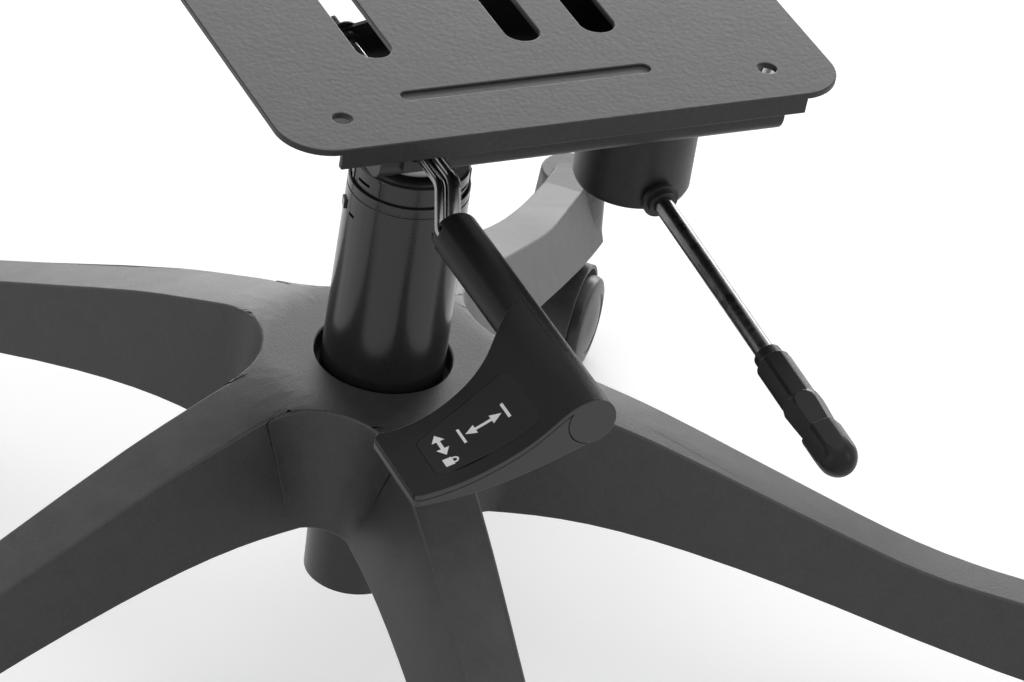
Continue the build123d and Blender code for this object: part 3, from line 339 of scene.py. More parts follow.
# %% Settled dust
def build_dust():
    """Dust lies on what faces up, in drifts and as single specks."""
    takes = [("Coordinates", VECTOR, None), ("Amount", FLOAT, 0.3)]
    tree, given, gives = new_group("settled dust", takes, ["Dust"])
    drift = texture(tree, NOISE, -6, 0, given["Coordinates"], 55.0, Detail=6.0)
    speck = texture(tree, PEBBLES, -6, 1, given["Coordinates"], 420.0)
    facing = node(tree, "ShaderNodeNewGeometry", -7, 2).outputs["Normal"]
    up = spread(tree, split(tree, -6, 2, facing)["Z"], -4, 2, low=0.45, high=0.95)
    lie = spread(tree, drift[0], -4, 0, low=0.4, high=0.75)
    dots = spread(tree, speck["Distance"], -4, 1, low=0.16, high=0.06)
    most = arithmetic(tree, "MAXIMUM", -3, 0, lie, dots)
    upward = arithmetic(tree, "MULTIPLY", -2, 0, most, up)
    wire(tree, arithmetic(tree, "MULTIPLY", -1, 0, upward, given["Amount"]), gives["Dust"])
    return tree


settled_dust = build_dust()


# %% Drawn and turned lines
def build_drawn_lines():
    """Fine lines along one axis, as a drawing die or a belt grinder leaves them."""
    takes = [("Coordinates", VECTOR, None), ("Stretch", VECTOR, (0.02, 1.0, 1.0)),
             ("Lines per metre", FLOAT, 2200.0)]
    tree, given, gives = new_group("drawn lines", takes, ["Height", "Streaks"])
    stretch = node(tree, "ShaderNodeVectorMath", -6, 0, operation="MULTIPLY")
    wire(tree, given["Coordinates"], stretch.inputs[0])
    wire(tree, given["Stretch"], stretch.inputs[1])
    lines = texture(tree, NOISE, -4, 0, stretch.outputs["Vector"], given["Lines per metre"], Detail=4.0)
    wire(tree, lines[0], gives["Height"])
    wire(tree, spread(tree, lines[0], -1, 1, low=0.35, high=0.7), gives["Streaks"])
    return tree


drawn_lines = build_drawn_lines()
print("shader groups:", [g.name for g in bpy.data.node_groups])

# %% [markdown]
# ## Finishes
# Two recipes cover the whole object. Moulded plastic has grain, clouds, rubbed rims with a painted
# highlight, and dust in different amounts, from the coarse dry nylon of the star to the satin black of the
# paddle.
# Steel has drawn lines, a spotted patina and its own colour. A recipe could be copied out for each
# finish, but one function with a row of numbers keeps the differences easy to see and to change.

# %% What both recipes need
def blank_finish(name):
    """A new material with its shader's inputs, Object coordinates and the rim mask."""
    made = bpy.data.materials.new(name + "_looks")
    made.use_nodes = True
    tree = made.node_tree
    shader = tree.nodes["Principled BSDF"]
    shader.location = (900, 0)
    tree.nodes["Material Output"].location = (1200, 0)
    place = node(tree, "ShaderNodeTexCoord", -6, 1).outputs["Object"]
    mask = node(tree, "ShaderNodeAttribute", -6, 3, attribute_name="rim").outputs["Fac"]
    return made, tree, shader.inputs, place, mask


def placed_group(tree, group, column, row, coordinates, **values):
    """A shader group in a material, with its inputs given by name."""
    made = node(tree, "ShaderNodeGroup", column, row)
    made.node_tree = group
    wire(tree, coordinates, made.inputs["Coordinates"])
    for name, value in values.items():
        wire(tree, value, made.inputs[name.replace("_", " ")])
    return made.outputs


def set_relief(tree, height, depth, shader):
    """Turns a height into small bumps. The depth is in metres."""
    bump = node(tree, "ShaderNodeBump", 2, 3)
    bump.inputs["Distance"].default_value = depth
    wire(tree, height, bump.inputs["Height"])
    wire(tree, bump.outputs["Normal"], shader["Normal"])


# %% Moulded plastic recipe
DUST_COLOUR = (0.27, 0.265, 0.255)
FLECK_SHARE = 0.55
CLOUD_SHARE = 0.45
WIPE_SHARE = 0.5
ALL_SHARES = FLECK_SHARE + CLOUD_SHARE + WIPE_SHARE
POLISHED_BY = 0.03
DULLED_BY = 0.05


def moulded(name, colour, pale, rim, roughness, pebbles, depth, dust=0.2, clouds=30.0, specular=0.5):
    """Plastic: colour in the hollows of the grain, pale on its tops, rim colour as rubbed wear and painted
    highlight.
    """
    made, tree, shader, place, mask = blank_finish(name)
    grain = placed_group(tree, mould_grain, -4, 0, place, Pebbles_per_metre=pebbles)
    cloud = placed_group(tree, handling_clouds, -4, 1, place, Clouds_per_metre=clouds)
    rim_wear_and_highlight = placed_group(tree, rubbed_and_highlit_rims, -4, 2, place, Rim=mask)
    settled = placed_group(tree, settled_dust, -4, 3, place, Amount=dust)
    fleck = arithmetic(tree, "MULTIPLY", -3, 0, grain["Flecks"], FLECK_SHARE)
    patch = arithmetic(tree, "MULTIPLY", -3, 1, cloud["Clouds"], CLOUD_SHARE)
    shade = arithmetic(tree, "ADD", -2, 0, fleck, patch)
    body = tinted(tree, -1, 0, shade, colour, pale)
    # The rim colour on the rounded edges is rubbed wear and a painted highlight.
    worn_and_highlit = tinted(tree, 0, 0, rim_wear_and_highlight["Rubbed"], body, rim)
    wire(tree, tinted(tree, 1, 0, settled["Dust"], worn_and_highlit, DUST_COLOUR), shader["Base Color"])
    wipe = arithmetic(tree, "MULTIPLY", -3, 2, cloud["Wipes"], WIPE_SHARE)
    wiped = arithmetic(tree, "ADD", -2, 2, wipe, shade)
    smooth = roughness - POLISHED_BY
    gloss = spread(tree, wiped, 0, 2, 0.0, ALL_SHARES, to_low=smooth, to_high=roughness + DULLED_BY)
    wire(tree, gloss, shader["Roughness"])
    set_relief(tree, grain["Height"], depth, shader)
    shader["Specular IOR Level"].default_value = specular
    return made


# %% Steel recipe
STEEL_CLOUDS = 120.0
BARE_GAIN = 1.35
SMEARED_BY = 0.12


def steel(name, colour, dull, roughness, stretch, lines, depth=0.000004):
    """Metal with drawn lines and faint dull spots."""
    made, tree, shader, place, mask = blank_finish(name)
    drawn = placed_group(tree, drawn_lines, -4, 0, place, Stretch=stretch, Lines_per_metre=lines)
    cloud = placed_group(tree, handling_clouds, -4, 1, place, Clouds_per_metre=STEEL_CLOUDS)
    spots = arithmetic(tree, "MULTIPLY", -2, 1, drawn["Streaks"], cloud["Clouds"])
    body = tinted(tree, -1, 0, spots, colour, dull)
    bare = tuple(min(1.0, c * BARE_GAIN) for c in colour)
    wire(tree, tinted(tree, 1, 0, mask, body, bare), shader["Base Color"])
    smeared = roughness + SMEARED_BY
    gloss = spread(tree, cloud["Wipes"], 0, 2, 0.0, 1.0, to_low=roughness, to_high=smeared)
    wire(tree, gloss, shader["Roughness"])
    set_relief(tree, drawn["Height"], depth, shader)
    shader["Metallic"].default_value = 1.0
    return made


# %% [markdown]
# ## One finish for each slot
# The record names sixteen finishes. The star's nylon is dry and grained and turns pale where it
# is seen at a flat angle. The column covers are smooth enough to mirror the white floor between
# the legs, which gives them their upright bands. The paddle is the darkest, and the pale rim
# colours of the paddle and of its label are a painted highlight along their thin rounds. The rods
# are steel under a dark plate finish, so they show only thin bright lines. One look has no slot of
# its own: the shell under the paddle is a glossier black than the plate above it, and a little
# paler, which is painted light. Each finish is a row of numbers for its recipe. Depths are in
# metres, and pebbles and lines are counted per metre.

# %% Plastics, paints and rubber
moulded_rows = {
    "star_nylon": dict(
        colour=(0.025, 0.025, 0.025), pale=(0.043, 0.0425, 0.042), rim=(0.11, 0.11, 0.108),
        roughness=0.46, pebbles=850, depth=0.00004, dust=0.05, clouds=110),
    "caster_nylon": dict(
        colour=(0.022, 0.022, 0.023), pale=(0.034, 0.034, 0.034), rim=(0.07, 0.07, 0.07),
        roughness=0.42, pebbles=1100, depth=0.00004, dust=0.2),
    "wheel_nylon": dict(
        colour=(0.018, 0.018, 0.019), pale=(0.03, 0.03, 0.03), rim=(0.06, 0.06, 0.06),
        roughness=0.36, pebbles=1400, depth=0.000025, dust=0.25),
    "cover_plastic": dict(
        colour=(0.012, 0.012, 0.0125), pale=(0.017, 0.017, 0.0175), rim=(0.05, 0.05, 0.05),
        roughness=0.2, pebbles=1800, depth=0.000006, dust=0.05),
    # The pale rim colour of the paddle plastic and of the label is a painted highlight along their thin
    # rounds.
    "paddle_plastic": dict(
        colour=(0.006, 0.006, 0.0065), pale=(0.01, 0.01, 0.0105), rim=(0.34, 0.34, 0.35),
        roughness=0.36, pebbles=1500, depth=0.000022, dust=0.01, specular=0.12),
    "label_plastic": dict(
        colour=(0.006, 0.006, 0.007), pale=(0.01, 0.01, 0.011), rim=(0.3, 0.3, 0.31),
        roughness=0.24, pebbles=2200, depth=0.000008, dust=0.01, specular=0.14),
    "grip_plastic": dict(
        colour=(0.009, 0.009, 0.0095), pale=(0.014, 0.014, 0.0145), rim=(0.09, 0.09, 0.09),
        roughness=0.32, pebbles=1600, depth=0.00002, dust=0.01, specular=0.2),
    "bush_plastic": dict(
        colour=(0.5, 0.48, 0.42), pale=(0.6, 0.58, 0.52), rim=(0.68, 0.66, 0.6),
        roughness=0.42, pebbles=1400, depth=0.00002, dust=0.02),
    "dark_bush": dict(
        colour=(0.02, 0.02, 0.021), pale=(0.032, 0.032, 0.033), rim=(0.07, 0.07, 0.07),
        roughness=0.4, pebbles=1400, depth=0.00002, dust=0.02, specular=0.4),
    "buffer_rubber": dict(
        colour=(0.015, 0.015, 0.015), pale=(0.026, 0.026, 0.026), rim=(0.04, 0.04, 0.04),
        roughness=0.72, pebbles=1200, depth=0.00004, dust=0.05, specular=0.3),
    "column_paint": dict(
        colour=(0.016, 0.016, 0.017), pale=(0.024, 0.024, 0.025), rim=(0.05, 0.05, 0.05),
        roughness=0.32, pebbles=500, depth=0.00003, dust=0.06),
    "mech_paint": dict(
        colour=(0.02, 0.02, 0.0215), pale=(0.03, 0.03, 0.0315), rim=(0.06, 0.06, 0.062),
        roughness=0.42, pebbles=420, depth=0.00005, dust=0.03, clouds=80, specular=0.35),
}
finishes = {slot: moulded(slot, **row) for slot, row in moulded_rows.items()}
# This glossier black is also a little paler than the paddle plastic. The paler colour is painted light on
# the cap and the shell, and its pale rim is a painted highlight.
glossy_lit_black = moulded(
    "paddle_lit_gloss", colour=(0.01, 0.01, 0.0105), pale=(0.016, 0.016, 0.0165), rim=(0.3, 0.3, 0.31),
    roughness=0.34, pebbles=1500, depth=0.00001, dust=0.01, specular=0.6)
print(len(finishes), "finishes of plastic, paint and rubber")

# %% Steels
along_x = (0.02, 1.0, 1.0)
round_z = (1.0, 1.0, 0.015)
steel_rows = {
    "bright_steel": dict(
        colour=(0.52, 0.52, 0.53), dull=(0.36, 0.355, 0.345), roughness=0.28, stretch=along_x, lines=2400),
    "chrome_steel": dict(
        colour=(0.3, 0.3, 0.31), dull=(0.2, 0.2, 0.205), roughness=0.14, stretch=along_x, lines=2600,
        depth=0.000002),
    "dark_steel": dict(
        colour=(0.2, 0.2, 0.205), dull=(0.12, 0.12, 0.122), roughness=0.24, stretch=along_x, lines=2400,
        depth=0.000002),
    "socket_steel": dict(
        colour=(0.4, 0.4, 0.4), dull=(0.25, 0.245, 0.235), roughness=0.36, stretch=round_z, lines=1500),
}
finishes.update({slot: steel(slot, **row) for slot, row in steel_rows.items()})


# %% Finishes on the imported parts
def finish_of(name):
    """The finish of a part's slot. Only the shell under the paddle has another."""
    return glossy_lit_black if name == "paddle_underside" else finishes[slot_of[name]]


for name, part in nodes.items():
    if not part.material_slots:
        part.data.materials.append(finish_of(name))
    for slot in part.material_slots:
        slot.material = finish_of(name)
print(len(finishes), "finishes on", len(nodes), "nodes")

# %% [markdown]
# ## Rounded moulded edges
# No moulded or pressed part has a razor edge: the star's rims are rounded by more than a
# millimetre, and those thin rounds catch the light as pale lines. The imported triangles have sharp
# edges. A bump trick could fake the round, but it would not be in the mesh. So
# each visible part is copied, its loose triangles are welded, flat areas are joined, and its sharp
# edges are bevelled. Where a bevel runs out in a tangent corner it can throw a point far off, so
# such points are put back on the nearest surface. The new faces carry a mask named rim, on which the
# finishes put rubbed wear and a painted highlight. A thin dark line stays at the hub wherever a web
# meets a leg. It is a narrow slit in the imported solid itself, and looks don't change the imported
# shape, so it is left in sight.

# %% Rounding helpers
WELD_DISTANCE = 0.00001
STRAY_SHARE = 0.75
CREASE = 38.0
STAR_CREASE = 62.0


def welded(part):
    """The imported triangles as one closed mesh."""
    mesh = bmesh.new()
    mesh.from_mesh(part.data)
    bmesh.ops.remove_doubles(mesh, verts=mesh.verts, dist=WELD_DISTANCE)
    return mesh


def plain_mesh(thing):
    """What an object's modifiers make of it, as a mesh of its own."""
    view = bpy.context.evaluated_depsgraph_get()
    return bpy.data.meshes.new_from_object(thing.evaluated_get(view), depsgraph=view)


def put_back(mesh, skin, furthest):
    """Moves points that lie too far off a surface back onto it, and counts them."""
    strays = 0
    for vert in mesh.verts:
        place, _, _, far = skin.find_nearest(vert.co)
        if far > furthest:
            vert.co = place
            strays += 1
    return strays


# %% Rounded copy
def rounded_copy(name, round_by, flat=1.5, sharp=30.0, segments=3, soften=CREASE):
    """A copy of a part with its sharp outer edges rounded. It stands in for the part."""
    mesh = welded(nodes[name])
    skin = BVHTree.FromBMesh(mesh)
    bmesh.ops.dissolve_limit(mesh, angle_limit=math.radians(flat), verts=mesh.verts, edges=mesh.edges)
    limit = math.radians(sharp)
    edges = [e for e in mesh.edges if e.is_manifold and e.is_convex and e.calc_face_angle(0) > limit]
    made = bmesh.ops.bevel(
        mesh, geom=edges, offset=round_by, offset_type="OFFSET", segments=segments, profile=0.5,
        affect="EDGES", clamp_overlap=False, miter_outer="ARC", miter_inner="SHARP", loop_slide=True,
    )
    rim_faces = set(made["faces"])
    strays = put_back(mesh, skin, STRAY_SHARE * round_by)
    # The rim mask marks the bevel faces. The finishes put rubbed wear and a painted highlight on them.
    rim = mesh.faces.layers.float.new("rim")
    for face in mesh.faces:
        face[rim] = 1.0 if face in rim_faces else 0.0
        face.smooth = True
    crease = math.radians(soften)
    for edge in mesh.edges:
        edge.smooth = len(edge.link_faces) == 2 and edge.calc_face_angle(0) < crease
    data = bpy.data.meshes.new(name + "_rounded")
    mesh.to_mesh(data)
    mesh.free()
    piece = put(name + "_rounded", data)
    data.materials.append(finish_of(name))
    weigh = piece.modifiers.new("weigh", "WEIGHTED_NORMAL")
    weigh.keep_sharp = True
    piece.data = plain_mesh(piece)
    piece.modifiers.remove(weigh)
    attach(piece, body_of[name])
    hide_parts(name)
    return len(edges), len(piece.data.polygons), strays


# %% Round the visible parts
round_by = {
    "star_base": 0.0012,
    "paddle_grip": 0.0005,
    "paddle_underside": 0.0005,
    "paddle_label": 0.00018,
    "tension_grip": 0.0003,
    "mech_housing": 0.0004,
    "seat_plate": 0.0006,
    "spring_barrel": 0.0003,
    "cover_outer": 0.0002,
    "cover_inner": 0.0002,
    "lever_bushes": 0.0003,
    "lock_slider": 0.0003,
}
for number in range(1, 6):
    round_by[f"caster_hood_{number}"] = 0.0005
    round_by[f"caster_wheel_left_{number}"] = 0.0003
    round_by[f"caster_wheel_right_{number}"] = 0.0003
for name, size in round_by.items():
    soften = STAR_CREASE if name == "star_base" else CREASE
    edges, faces, strays = rounded_copy(name, size, soften=soften)
    print(f"{name}: {edges} edges rounded by {1000 * size:.1f} mm, {faces} faces, {strays} points put back")

# %% [markdown]
# ## The paddle's end cap
# The paddle's round barrel ends in a cap that is as glossy as the shell under the plate, and it gets
# the same black, whose paler colour is painted light. The cap could be a piece of its own, but it is
# one moulding with the grip and has no gap round it. So the faces that look outward at the very end
# of the rounded grip get the glossy black instead.

# %% The end cap
cap_depth = 0.0015
outward = 0.5
grip = bpy.data.objects["paddle_grip_rounded"]
grip.data.materials.append(glossy_lit_black)
cap_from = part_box("paddle_grip")[1][0] - cap_depth
capped = [f for f in grip.data.polygons if f.center.x > cap_from and f.normal.x > outward]
for face in capped:
    face.material_index = 1
print("cap:", len(capped), "faces")

# %% [markdown]
# ## Ribs in the wheels
# A twin wheel is a hollow moulding: a hub and a tread joined by a thin disc, with ribs between
# them on the back that show from below. Ten wheels with ten ribs each repeat one small wedge.
# Geometry Nodes put that wedge on the points of a circle and turn each copy to face the axle, so
# the count and the sizes stay inputs. The result is made a plain mesh once, and that mesh is then
# set into every wheel with a matrix.

# %% Geometry Nodes helpers
COUNT = "NodeSocketInt"
FINISH = "NodeSocketMaterial"


def new_geometry_tree(name, takes):
    """An empty geometry tree with named inputs. takes holds (name, kind) rows."""
    tree = bpy.data.node_groups.new(name, "GeometryNodeTree")
    sockets = {}
    for label, kind in takes:
        sockets[label] = tree.interface.new_socket(label, in_out="INPUT", socket_type=kind).identifier
    tree.interface.new_socket("Geometry", in_out="OUTPUT", socket_type="NodeSocketGeometry")
    entry = node(tree, "NodeGroupInput", -8, 0)
    leave = node(tree, "NodeGroupOutput", 6, 0)
    return tree, entry.outputs, leave.inputs, sockets


def combined(tree, column, row, **parts):
    """A vector from sockets named X, Y or Z. What isn't named stays 0."""
    made = node(tree, "ShaderNodeCombineXYZ", column, row)
    for axis, value in parts.items():
        wire(tree, value, made.inputs[axis])
    return made.outputs["Vector"]


def on_a_ring(tree, count, radius, form):
    """Copies of a form on the points of a circle."""
    ring = node(tree, "GeometryNodeMeshCircle", -3, 1, fill_type="NONE")
    wire(tree, count, ring.inputs["Vertices"])
    wire(tree, radius, ring.inputs["Radius"])
    copies = node(tree, "GeometryNodeInstanceOnPoints", 2, 0)
    wire(tree, ring.outputs["Mesh"], copies.inputs["Points"])
    wire(tree, form, copies.inputs["Instance"])
    return copies


def finished_end(tree, geometry, given, gives):
    """Every tree ends the same way: real copies, then the finish."""
    real = node(tree, "GeometryNodeRealizeInstances", 4, 0)
    coat = node(tree, "GeometryNodeSetMaterial", 5, 0)
    wire(tree, geometry, real.inputs["Geometry"])
    wire(tree, real.outputs["Geometry"], coat.inputs["Geometry"])
    wire(tree, given["Finish"], coat.inputs["Material"])
    wire(tree, coat.outputs["Geometry"], gives["Geometry"])


# %% From a tree to a piece
def grown(name, tree, sockets, values):
    """Runs a tree on an empty mesh and gives back the plain mesh that it makes."""
    holder = put(name, bpy.data.meshes.new(name))
    growth = holder.modifiers.new("growth", "NODES")
    growth.node_group = tree
    for label, value in values.items():
        growth[sockets[label]] = value
    made = plain_mesh(holder)
    bpy.data.objects.remove(holder)
    return made


def smooth_faces(mesh):
    for face in mesh.polygons:
        face.use_smooth = True


def set_piece(name, mesh, body):
    """A finished mesh becomes a piece. It rides on a body when one is given."""
    piece = put(name, mesh)
    if body:
        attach(piece, body)
    return piece


# %% The rib tree
takes = [("Ribs", COUNT), ("Hub radius", FLOAT), ("Rim radius", FLOAT), ("Depth", FLOAT),
         ("Thickness", FLOAT), ("Finish", FINISH)]
tree, given, gives, rib_inputs = new_geometry_tree("wheel ribs", takes)
span = arithmetic(tree, "SUBTRACT", -6, 0, given["Rim radius"], given["Hub radius"])
both = arithmetic(tree, "ADD", -6, 1, given["Rim radius"], given["Hub radius"])
middle = arithmetic(tree, "MULTIPLY", -5, 1, both, 0.5)
rib = node(tree, "GeometryNodeMeshCube", -3, 0)
rib.inputs["Vertices X"].default_value = 5
rib.inputs["Vertices Z"].default_value = 4
rib_size = combined(tree, -4, 0, X=span, Y=given["Thickness"], Z=given["Depth"])
wire(tree, rib_size, rib.inputs["Size"])

# The wedge is thicker by a quarter at the hub, and thinner by a quarter at the rim.
axes = split(tree, -3, 3, node(tree, "GeometryNodeInputPosition", -4, 3).outputs["Position"])
share = arithmetic(tree, "DIVIDE", -2, 3, axes["X"], span)
thin = arithmetic(tree, "MULTIPLY", -1, 3, share, -0.5)
across = arithmetic(tree, "MULTIPLY", 0, 3, axes["Y"], thin)
taper = node(tree, "GeometryNodeSetPosition", 0, 0)
wire(tree, rib.outputs["Mesh"], taper.inputs["Geometry"])
wire(tree, combined(tree, 0, 2, Y=across), taper.inputs["Offset"])

index = node(tree, "GeometryNodeInputIndex", -2, 2).outputs["Index"]
step = arithmetic(tree, "DIVIDE", -1, 2, 2 * math.pi, given["Ribs"])
angle = arithmetic(tree, "MULTIPLY", 0, 1, index, step)
copies = on_a_ring(tree, given["Ribs"], middle, taper.outputs["Geometry"])
wire(tree, combined(tree, 1, 1, Z=angle), copies.inputs["Rotation"])
finished_end(tree, copies.outputs["Instances"], given, gives)

# %% Ribs for the ten wheels
rib_mesh = grown("rib_form", tree, rib_inputs, {
    "Ribs": 10, "Hub radius": 0.0088, "Rim radius": 0.0217, "Depth": 0.0136,
    "Thickness": 0.0014, "Finish": finishes["wheel_nylon"],
})
rib_middle = 0.0151
turns_about = {row["child"]: row for row in frame["record"]["behaviour"]["joints"]}
for number in range(1, 6):
    for side, sign in (("left", 1), ("right", -1)):
        wheel_body = body_of[f"caster_wheel_{side}_{number}"]
        axle_line = Vector(turns_about[wheel_body]["axis"])
        axle_middle = Vector(turns_about[wheel_body]["pos_m"])
        along_axle = axle_line.to_track_quat("Z", "X").to_matrix().to_4x4()
        mesh = rib_mesh.copy()
        mesh.transform(Matrix.Translation(axle_middle + sign * rib_middle * axle_line) @ along_axle)
        set_piece(f"wheel_ribs_{side}_{number}", mesh, wheel_body)
print("ribs:", len(rib_mesh.polygons), "faces in each of 10 wheels")

# %% [markdown]
# ## Domed rivet heads
# Three rivets hold the spring barrel under the mechanism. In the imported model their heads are
# flat discs. A set rivet is domed by its tool, so a shallow dome sits on each head. The domes could
# be placed by hand, but three on a ring are the same rule as the ribs, so they are grown the
# same way.

# %% The dome tree
takes = [("Count", COUNT), ("Ring radius", FLOAT), ("Head radius", FLOAT), ("Head height", FLOAT),
         ("Finish", FINISH)]
tree, given, gives, dome_inputs = new_geometry_tree("rivet domes", takes)
ball = node(tree, "GeometryNodeMeshUVSphere", -3, 0)
ball.inputs["Segments"].default_value = 28
ball.inputs["Rings"].default_value = 14
ball.inputs["Radius"].default_value = 1.0
flat = combined(tree, -2, 2, X=given["Head radius"], Y=given["Head radius"], Z=given["Head height"])
squeeze = node(tree, "GeometryNodeTransform", -1, 0)
wire(tree, ball.outputs["Mesh"], squeeze.inputs["Geometry"])
wire(tree, flat, squeeze.inputs["Scale"])
copies = on_a_ring(tree, given["Count"], given["Ring radius"], squeeze.outputs["Geometry"])
finished_end(tree, copies.outputs["Instances"], given, gives)

# %% Domes on the rivets
domes_above = 0.00015
rivet_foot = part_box("barrel_rivets")[0][2]
barrel_low, barrel_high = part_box("spring_barrel")
barrel_middle = (Vector(barrel_low) + Vector(barrel_high)) / 2
domes = grown("dome_form", tree, dome_inputs, {
    "Count": 3, "Ring radius": 0.03245, "Head radius": 0.0039, "Head height": 0.0011,
    "Finish": finishes["bright_steel"],
})
smooth_faces(domes)
seat_of_domes = Matrix.Translation((barrel_middle.x, barrel_middle.y, rivet_foot + domes_above))
domes.transform(seat_of_domes @ Matrix.Rotation(math.radians(90), 4, "Z"))
set_piece("rivet_domes", domes, body_of["barrel_rivets"])
print("domes:", len(domes.polygons), "faces, ring about", [round(1000 * v, 1) for v in barrel_middle])

# %% [markdown]
# ## The tilt spring
# The spring is a round wire on a helix with both ends ground flat. The imported one has that form
# too, but it is a solid of more than a hundred thousand triangles, and it moves as one stiff
# piece. A bevelled curve would be light, but its ends would be cut across the wire. Here a spiral
# curve is swept into a tube by nodes, and the points past the two end planes are pressed back onto
# them, which is what grinding does to a real spring. Its foot stands on the cup, which rises as
# the spring is tensioned, and its head sits under the seat plate. A blend crosses only one joint,
# so the spring is cut level at its middle, and each half is closed where it was cut. Neither half
# is set on a body or given a blend here, so both stay where they are built.

# %% Wire on a helix
takes = [("Turns", FLOAT), ("Coil radius", FLOAT), ("Wire radius", FLOAT), ("Free height", FLOAT),
         ("Finish", FINISH)]
tree, given, gives, coil_inputs = new_geometry_tree("ground spring", takes)
wire_radius = 0.0028
ground_off = 0.0005
spiral = node(tree, "GeometryNodeCurveSpiral", -5, 0)
spiral.inputs["Resolution"].default_value = 40
wire_rise = arithmetic(tree, "SUBTRACT", -7, 1, given["Free height"], given["Wire radius"])
wire(tree, given["Turns"], spiral.inputs["Rotations"])
wire(tree, given["Coil radius"], spiral.inputs["Start Radius"])
wire(tree, given["Coil radius"], spiral.inputs["End Radius"])
rise = arithmetic(tree, "SUBTRACT", -6, 1, wire_rise, wire_radius - 2 * ground_off)
wire(tree, rise, spiral.inputs["Height"])
round_wire = node(tree, "GeometryNodeCurvePrimitiveCircle", -5, 2)
round_wire.inputs["Resolution"].default_value = 20
wire(tree, given["Wire radius"], round_wire.inputs["Radius"])
tube = node(tree, "GeometryNodeCurveToMesh", -3, 0)
tube.inputs["Fill Caps"].default_value = True
wire(tree, spiral.outputs["Curve"], tube.inputs["Curve"])
wire(tree, round_wire.outputs["Curve"], tube.inputs["Profile Curve"])
lift = node(tree, "GeometryNodeTransform", -2, 0)
wire(tree, tube.outputs["Mesh"], lift.inputs["Geometry"])
foot_lift = arithmetic(tree, "SUBTRACT", -4, 1, given["Wire radius"], ground_off)
wire(tree, combined(tree, -3, 1, Z=foot_lift), lift.inputs["Translation"])

# %% Ends ground flat
axes = split(tree, -1, 3, node(tree, "GeometryNodeInputPosition", -2, 3).outputs["Position"])
held = node(tree, "ShaderNodeClamp", 0, 3)
wire(tree, axes["Z"], held.inputs["Value"])
wire(tree, given["Free height"], held.inputs["Max"])
pressed = combined(tree, 1, 3, X=axes["X"], Y=axes["Y"], Z=held.outputs["Result"])
ground = node(tree, "GeometryNodeSetPosition", 2, 0)
wire(tree, lift.outputs["Geometry"], ground.inputs["Geometry"])
wire(tree, pressed, ground.inputs["Position"])
finished_end(tree, ground.outputs["Geometry"], given, gives)

low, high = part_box("tilt_spring")
coil = grown("coil_form", tree, coil_inputs, {
    "Turns": 7.0, "Coil radius": 0.017, "Wire radius": wire_radius,
    "Free height": high[2] - low[2], "Finish": finishes["bright_steel"],
})
smooth_faces(coil)
coil.transform(Matrix.Translation((barrel_middle.x, barrel_middle.y, low[2])))


# %% Two halves cut at the middle
def level_half(mesh, height, upper):
    """The part of a closed mesh above or below a height, closed where it was cut."""
    part = bmesh.new()
    part.from_mesh(mesh)
    cut = bmesh.ops.bisect_plane(
        part, geom=[*part.verts, *part.edges, *part.faces], plane_co=(0, 0, height), plane_no=(0, 0, 1),
        clear_inner=upper, clear_outer=not upper,
    )
    rim = [e for e in cut["geom_cut"] if isinstance(e, bmesh.types.BMEdge)]
    bmesh.ops.holes_fill(part, edges=rim)
    bmesh.ops.recalc_face_normals(part, faces=part.faces)
    data = mesh.copy()
    part.to_mesh(data)
    part.free()
    return data


stiff_end = 0.004
spring_middle = (low[2] + high[2]) / 2
halves = [("tilt_coil_foot", False, "spring_cup", low[2] + stiff_end),
          ("tilt_coil_head", True, "seat_plate", high[2] - stiff_end)]
for name, upper, moving, far_end in halves:
    half = set_piece(name, level_half(coil, spring_middle, upper), None)
    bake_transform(half)
    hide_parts("tilt_spring")
print("spring:", len(coil.polygons), "faces,", round(1000 * (high[2] - low[2]), 1), "mm high")

# %% [markdown]
# ## Marks on the paddle
# The panel on the paddle shows what the lever does. The marks here are plain pictograms: a
# double arrow between two bars for the height, and a double arrow along the rod that ends at a
# closed padlock for the tilt. They could be painted with a mask in the material, but print has
# crisp edges and a little thickness. So each outline is cut into strips, dropped onto the curved
# panel with a ray from above, and given the thickness of a coat of ink.

# %% Outlines in millimetres on the plan
def double_arrow(middle_x, middle_y, half_length, along_y):
    """A straight bar with a head at each end."""
    bar, head, wing = 0.75, 4.2, 2.7
    points = [
        (half_length, 0), (half_length - head, wing), (half_length - head, bar),
        (head - half_length, bar), (head - half_length, wing), (-half_length, 0),
        (head - half_length, -wing), (head - half_length, -bar),
        (half_length - head, -bar), (half_length - head, -wing),
    ]
    if along_y:
        points = [(-b, a) for a, b in points]
    return [(middle_x + a, middle_y + b) for a, b in points]


def bar_mark(middle_x, middle_y, half_x, half_y):
    return [(middle_x - half_x, middle_y - half_y), (middle_x + half_x, middle_y - half_y),
            (middle_x + half_x, middle_y + half_y), (middle_x - half_x, middle_y + half_y)]


def shackle(middle_x, foot_y, outer, inner, leg):
    """The bow of a padlock: two legs and a half ring."""
    steps = [math.pi * n / 10 for n in range(11)]
    out = [(middle_x + outer * math.cos(t), foot_y + leg + outer * math.sin(t)) for t in steps]
    back = [(middle_x + inner * math.cos(t), foot_y + leg + inner * math.sin(t)) for t in reversed(steps)]
    return [(middle_x + outer, foot_y), *out, (middle_x - outer, foot_y),
            (middle_x - inner, foot_y), *back, (middle_x + inner, foot_y)]


lift_x, lift_y = 206.0, -58.5
tilt_x, tilt_y = 205.6, -76.4
lock_x, lock_y = 216.6, -77.4
bar_gap = 9.1
lock_half_y = 1.9
lap = 0.1
outlines = [
    double_arrow(lift_x, lift_y, half_length=7.5, along_y=True),
    bar_mark(lift_x, lift_y + bar_gap, half_x=4.6, half_y=0.55),
    bar_mark(lift_x, lift_y - bar_gap, half_x=4.6, half_y=0.55),
    double_arrow(tilt_x, tilt_y, half_length=6.6, along_y=False),
    bar_mark(lock_x, lock_y, half_x=2.3, half_y=lock_half_y),
    shackle(lock_x, lock_y + lock_half_y - lap, outer=1.75, inner=0.95, leg=0.7),
]


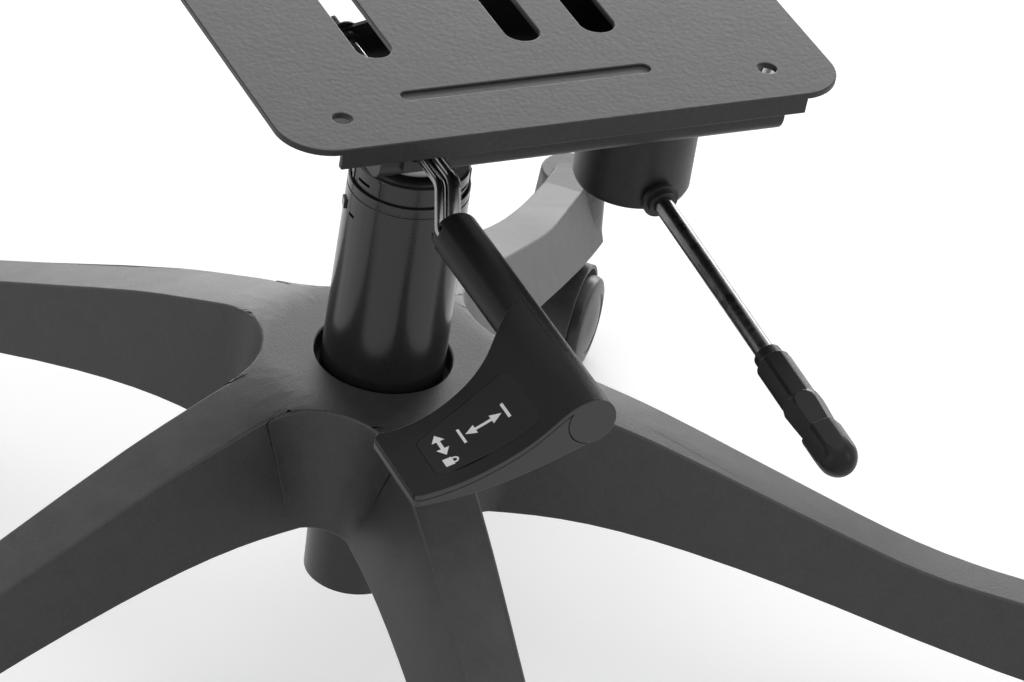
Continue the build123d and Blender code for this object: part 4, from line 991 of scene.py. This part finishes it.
# %% Print them on the panel
def printed(outlines, onto, stand=0.00006, ink=0.0001, strip=0.0008, above=0.4):
    """Flat outlines dropped onto a part from above, with the thickness of a coat of ink."""
    panel = welded(nodes[onto])
    skin = BVHTree.FromBMesh(panel)
    mesh = bmesh.new()
    for outline in outlines:
        ring = [mesh.verts.new((x / 1000, y / 1000, 0)) for x, y in outline]
        mesh.faces.new(ring).normal_update()
    bmesh.ops.triangulate(mesh, faces=mesh.faces)
    far = max(v.co.y for v in mesh.verts)
    cut = min(v.co.y for v in mesh.verts) + strip
    while cut < far:
        everything = [*mesh.verts, *mesh.edges, *mesh.faces]
        bmesh.ops.bisect_plane(mesh, geom=everything, plane_co=(0, cut, 0), plane_no=(0, 1, 0))
        cut += strip
    for vert in mesh.verts:
        hit = skin.ray_cast(Vector((vert.co.x, vert.co.y, above)), Vector((0, 0, -1)))[0]
        vert.co.z = hit.z + stand
    sunk = bmesh.ops.extrude_face_region(mesh, geom=list(mesh.faces))
    for vert in (v for v in sunk["geom"] if isinstance(v, bmesh.types.BMVert)):
        vert.co.z -= ink
    bmesh.ops.recalc_face_normals(mesh, faces=mesh.faces)
    data = bpy.data.meshes.new("paddle_marks")
    mesh.to_mesh(data)
    mesh.free()
    panel.free()
    return data


white_ink = moulded(
    "white_ink", colour=(0.62, 0.62, 0.62), pale=(0.78, 0.78, 0.78), rim=(0.8, 0.8, 0.8),
    roughness=0.5, pebbles=2600, depth=0.000004, dust=0.05)
marks = printed(outlines, "paddle_label")
marks.materials.append(white_ink)
set_piece("paddle_marks", marks, body_of["paddle_label"])
print("marks:", len(outlines), "outlines,", len(marks.polygons), "faces")

# %% [markdown]
# ## Sizes and finish
# Looks should not make the object bigger or smaller than the imported model. Each piece could be
# measured against its node, but the two boxes round everything show it at once. They are taken
# before and after, and the change between them is printed.

# %% Sizes and finish
looks_box = [list(corner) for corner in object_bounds()]
change = [1000 * (b - a) for near, far in zip(cad_box, looks_box) for a, b in zip(near, far)]
print("box change in mm", [round(c, 2) for c in change])
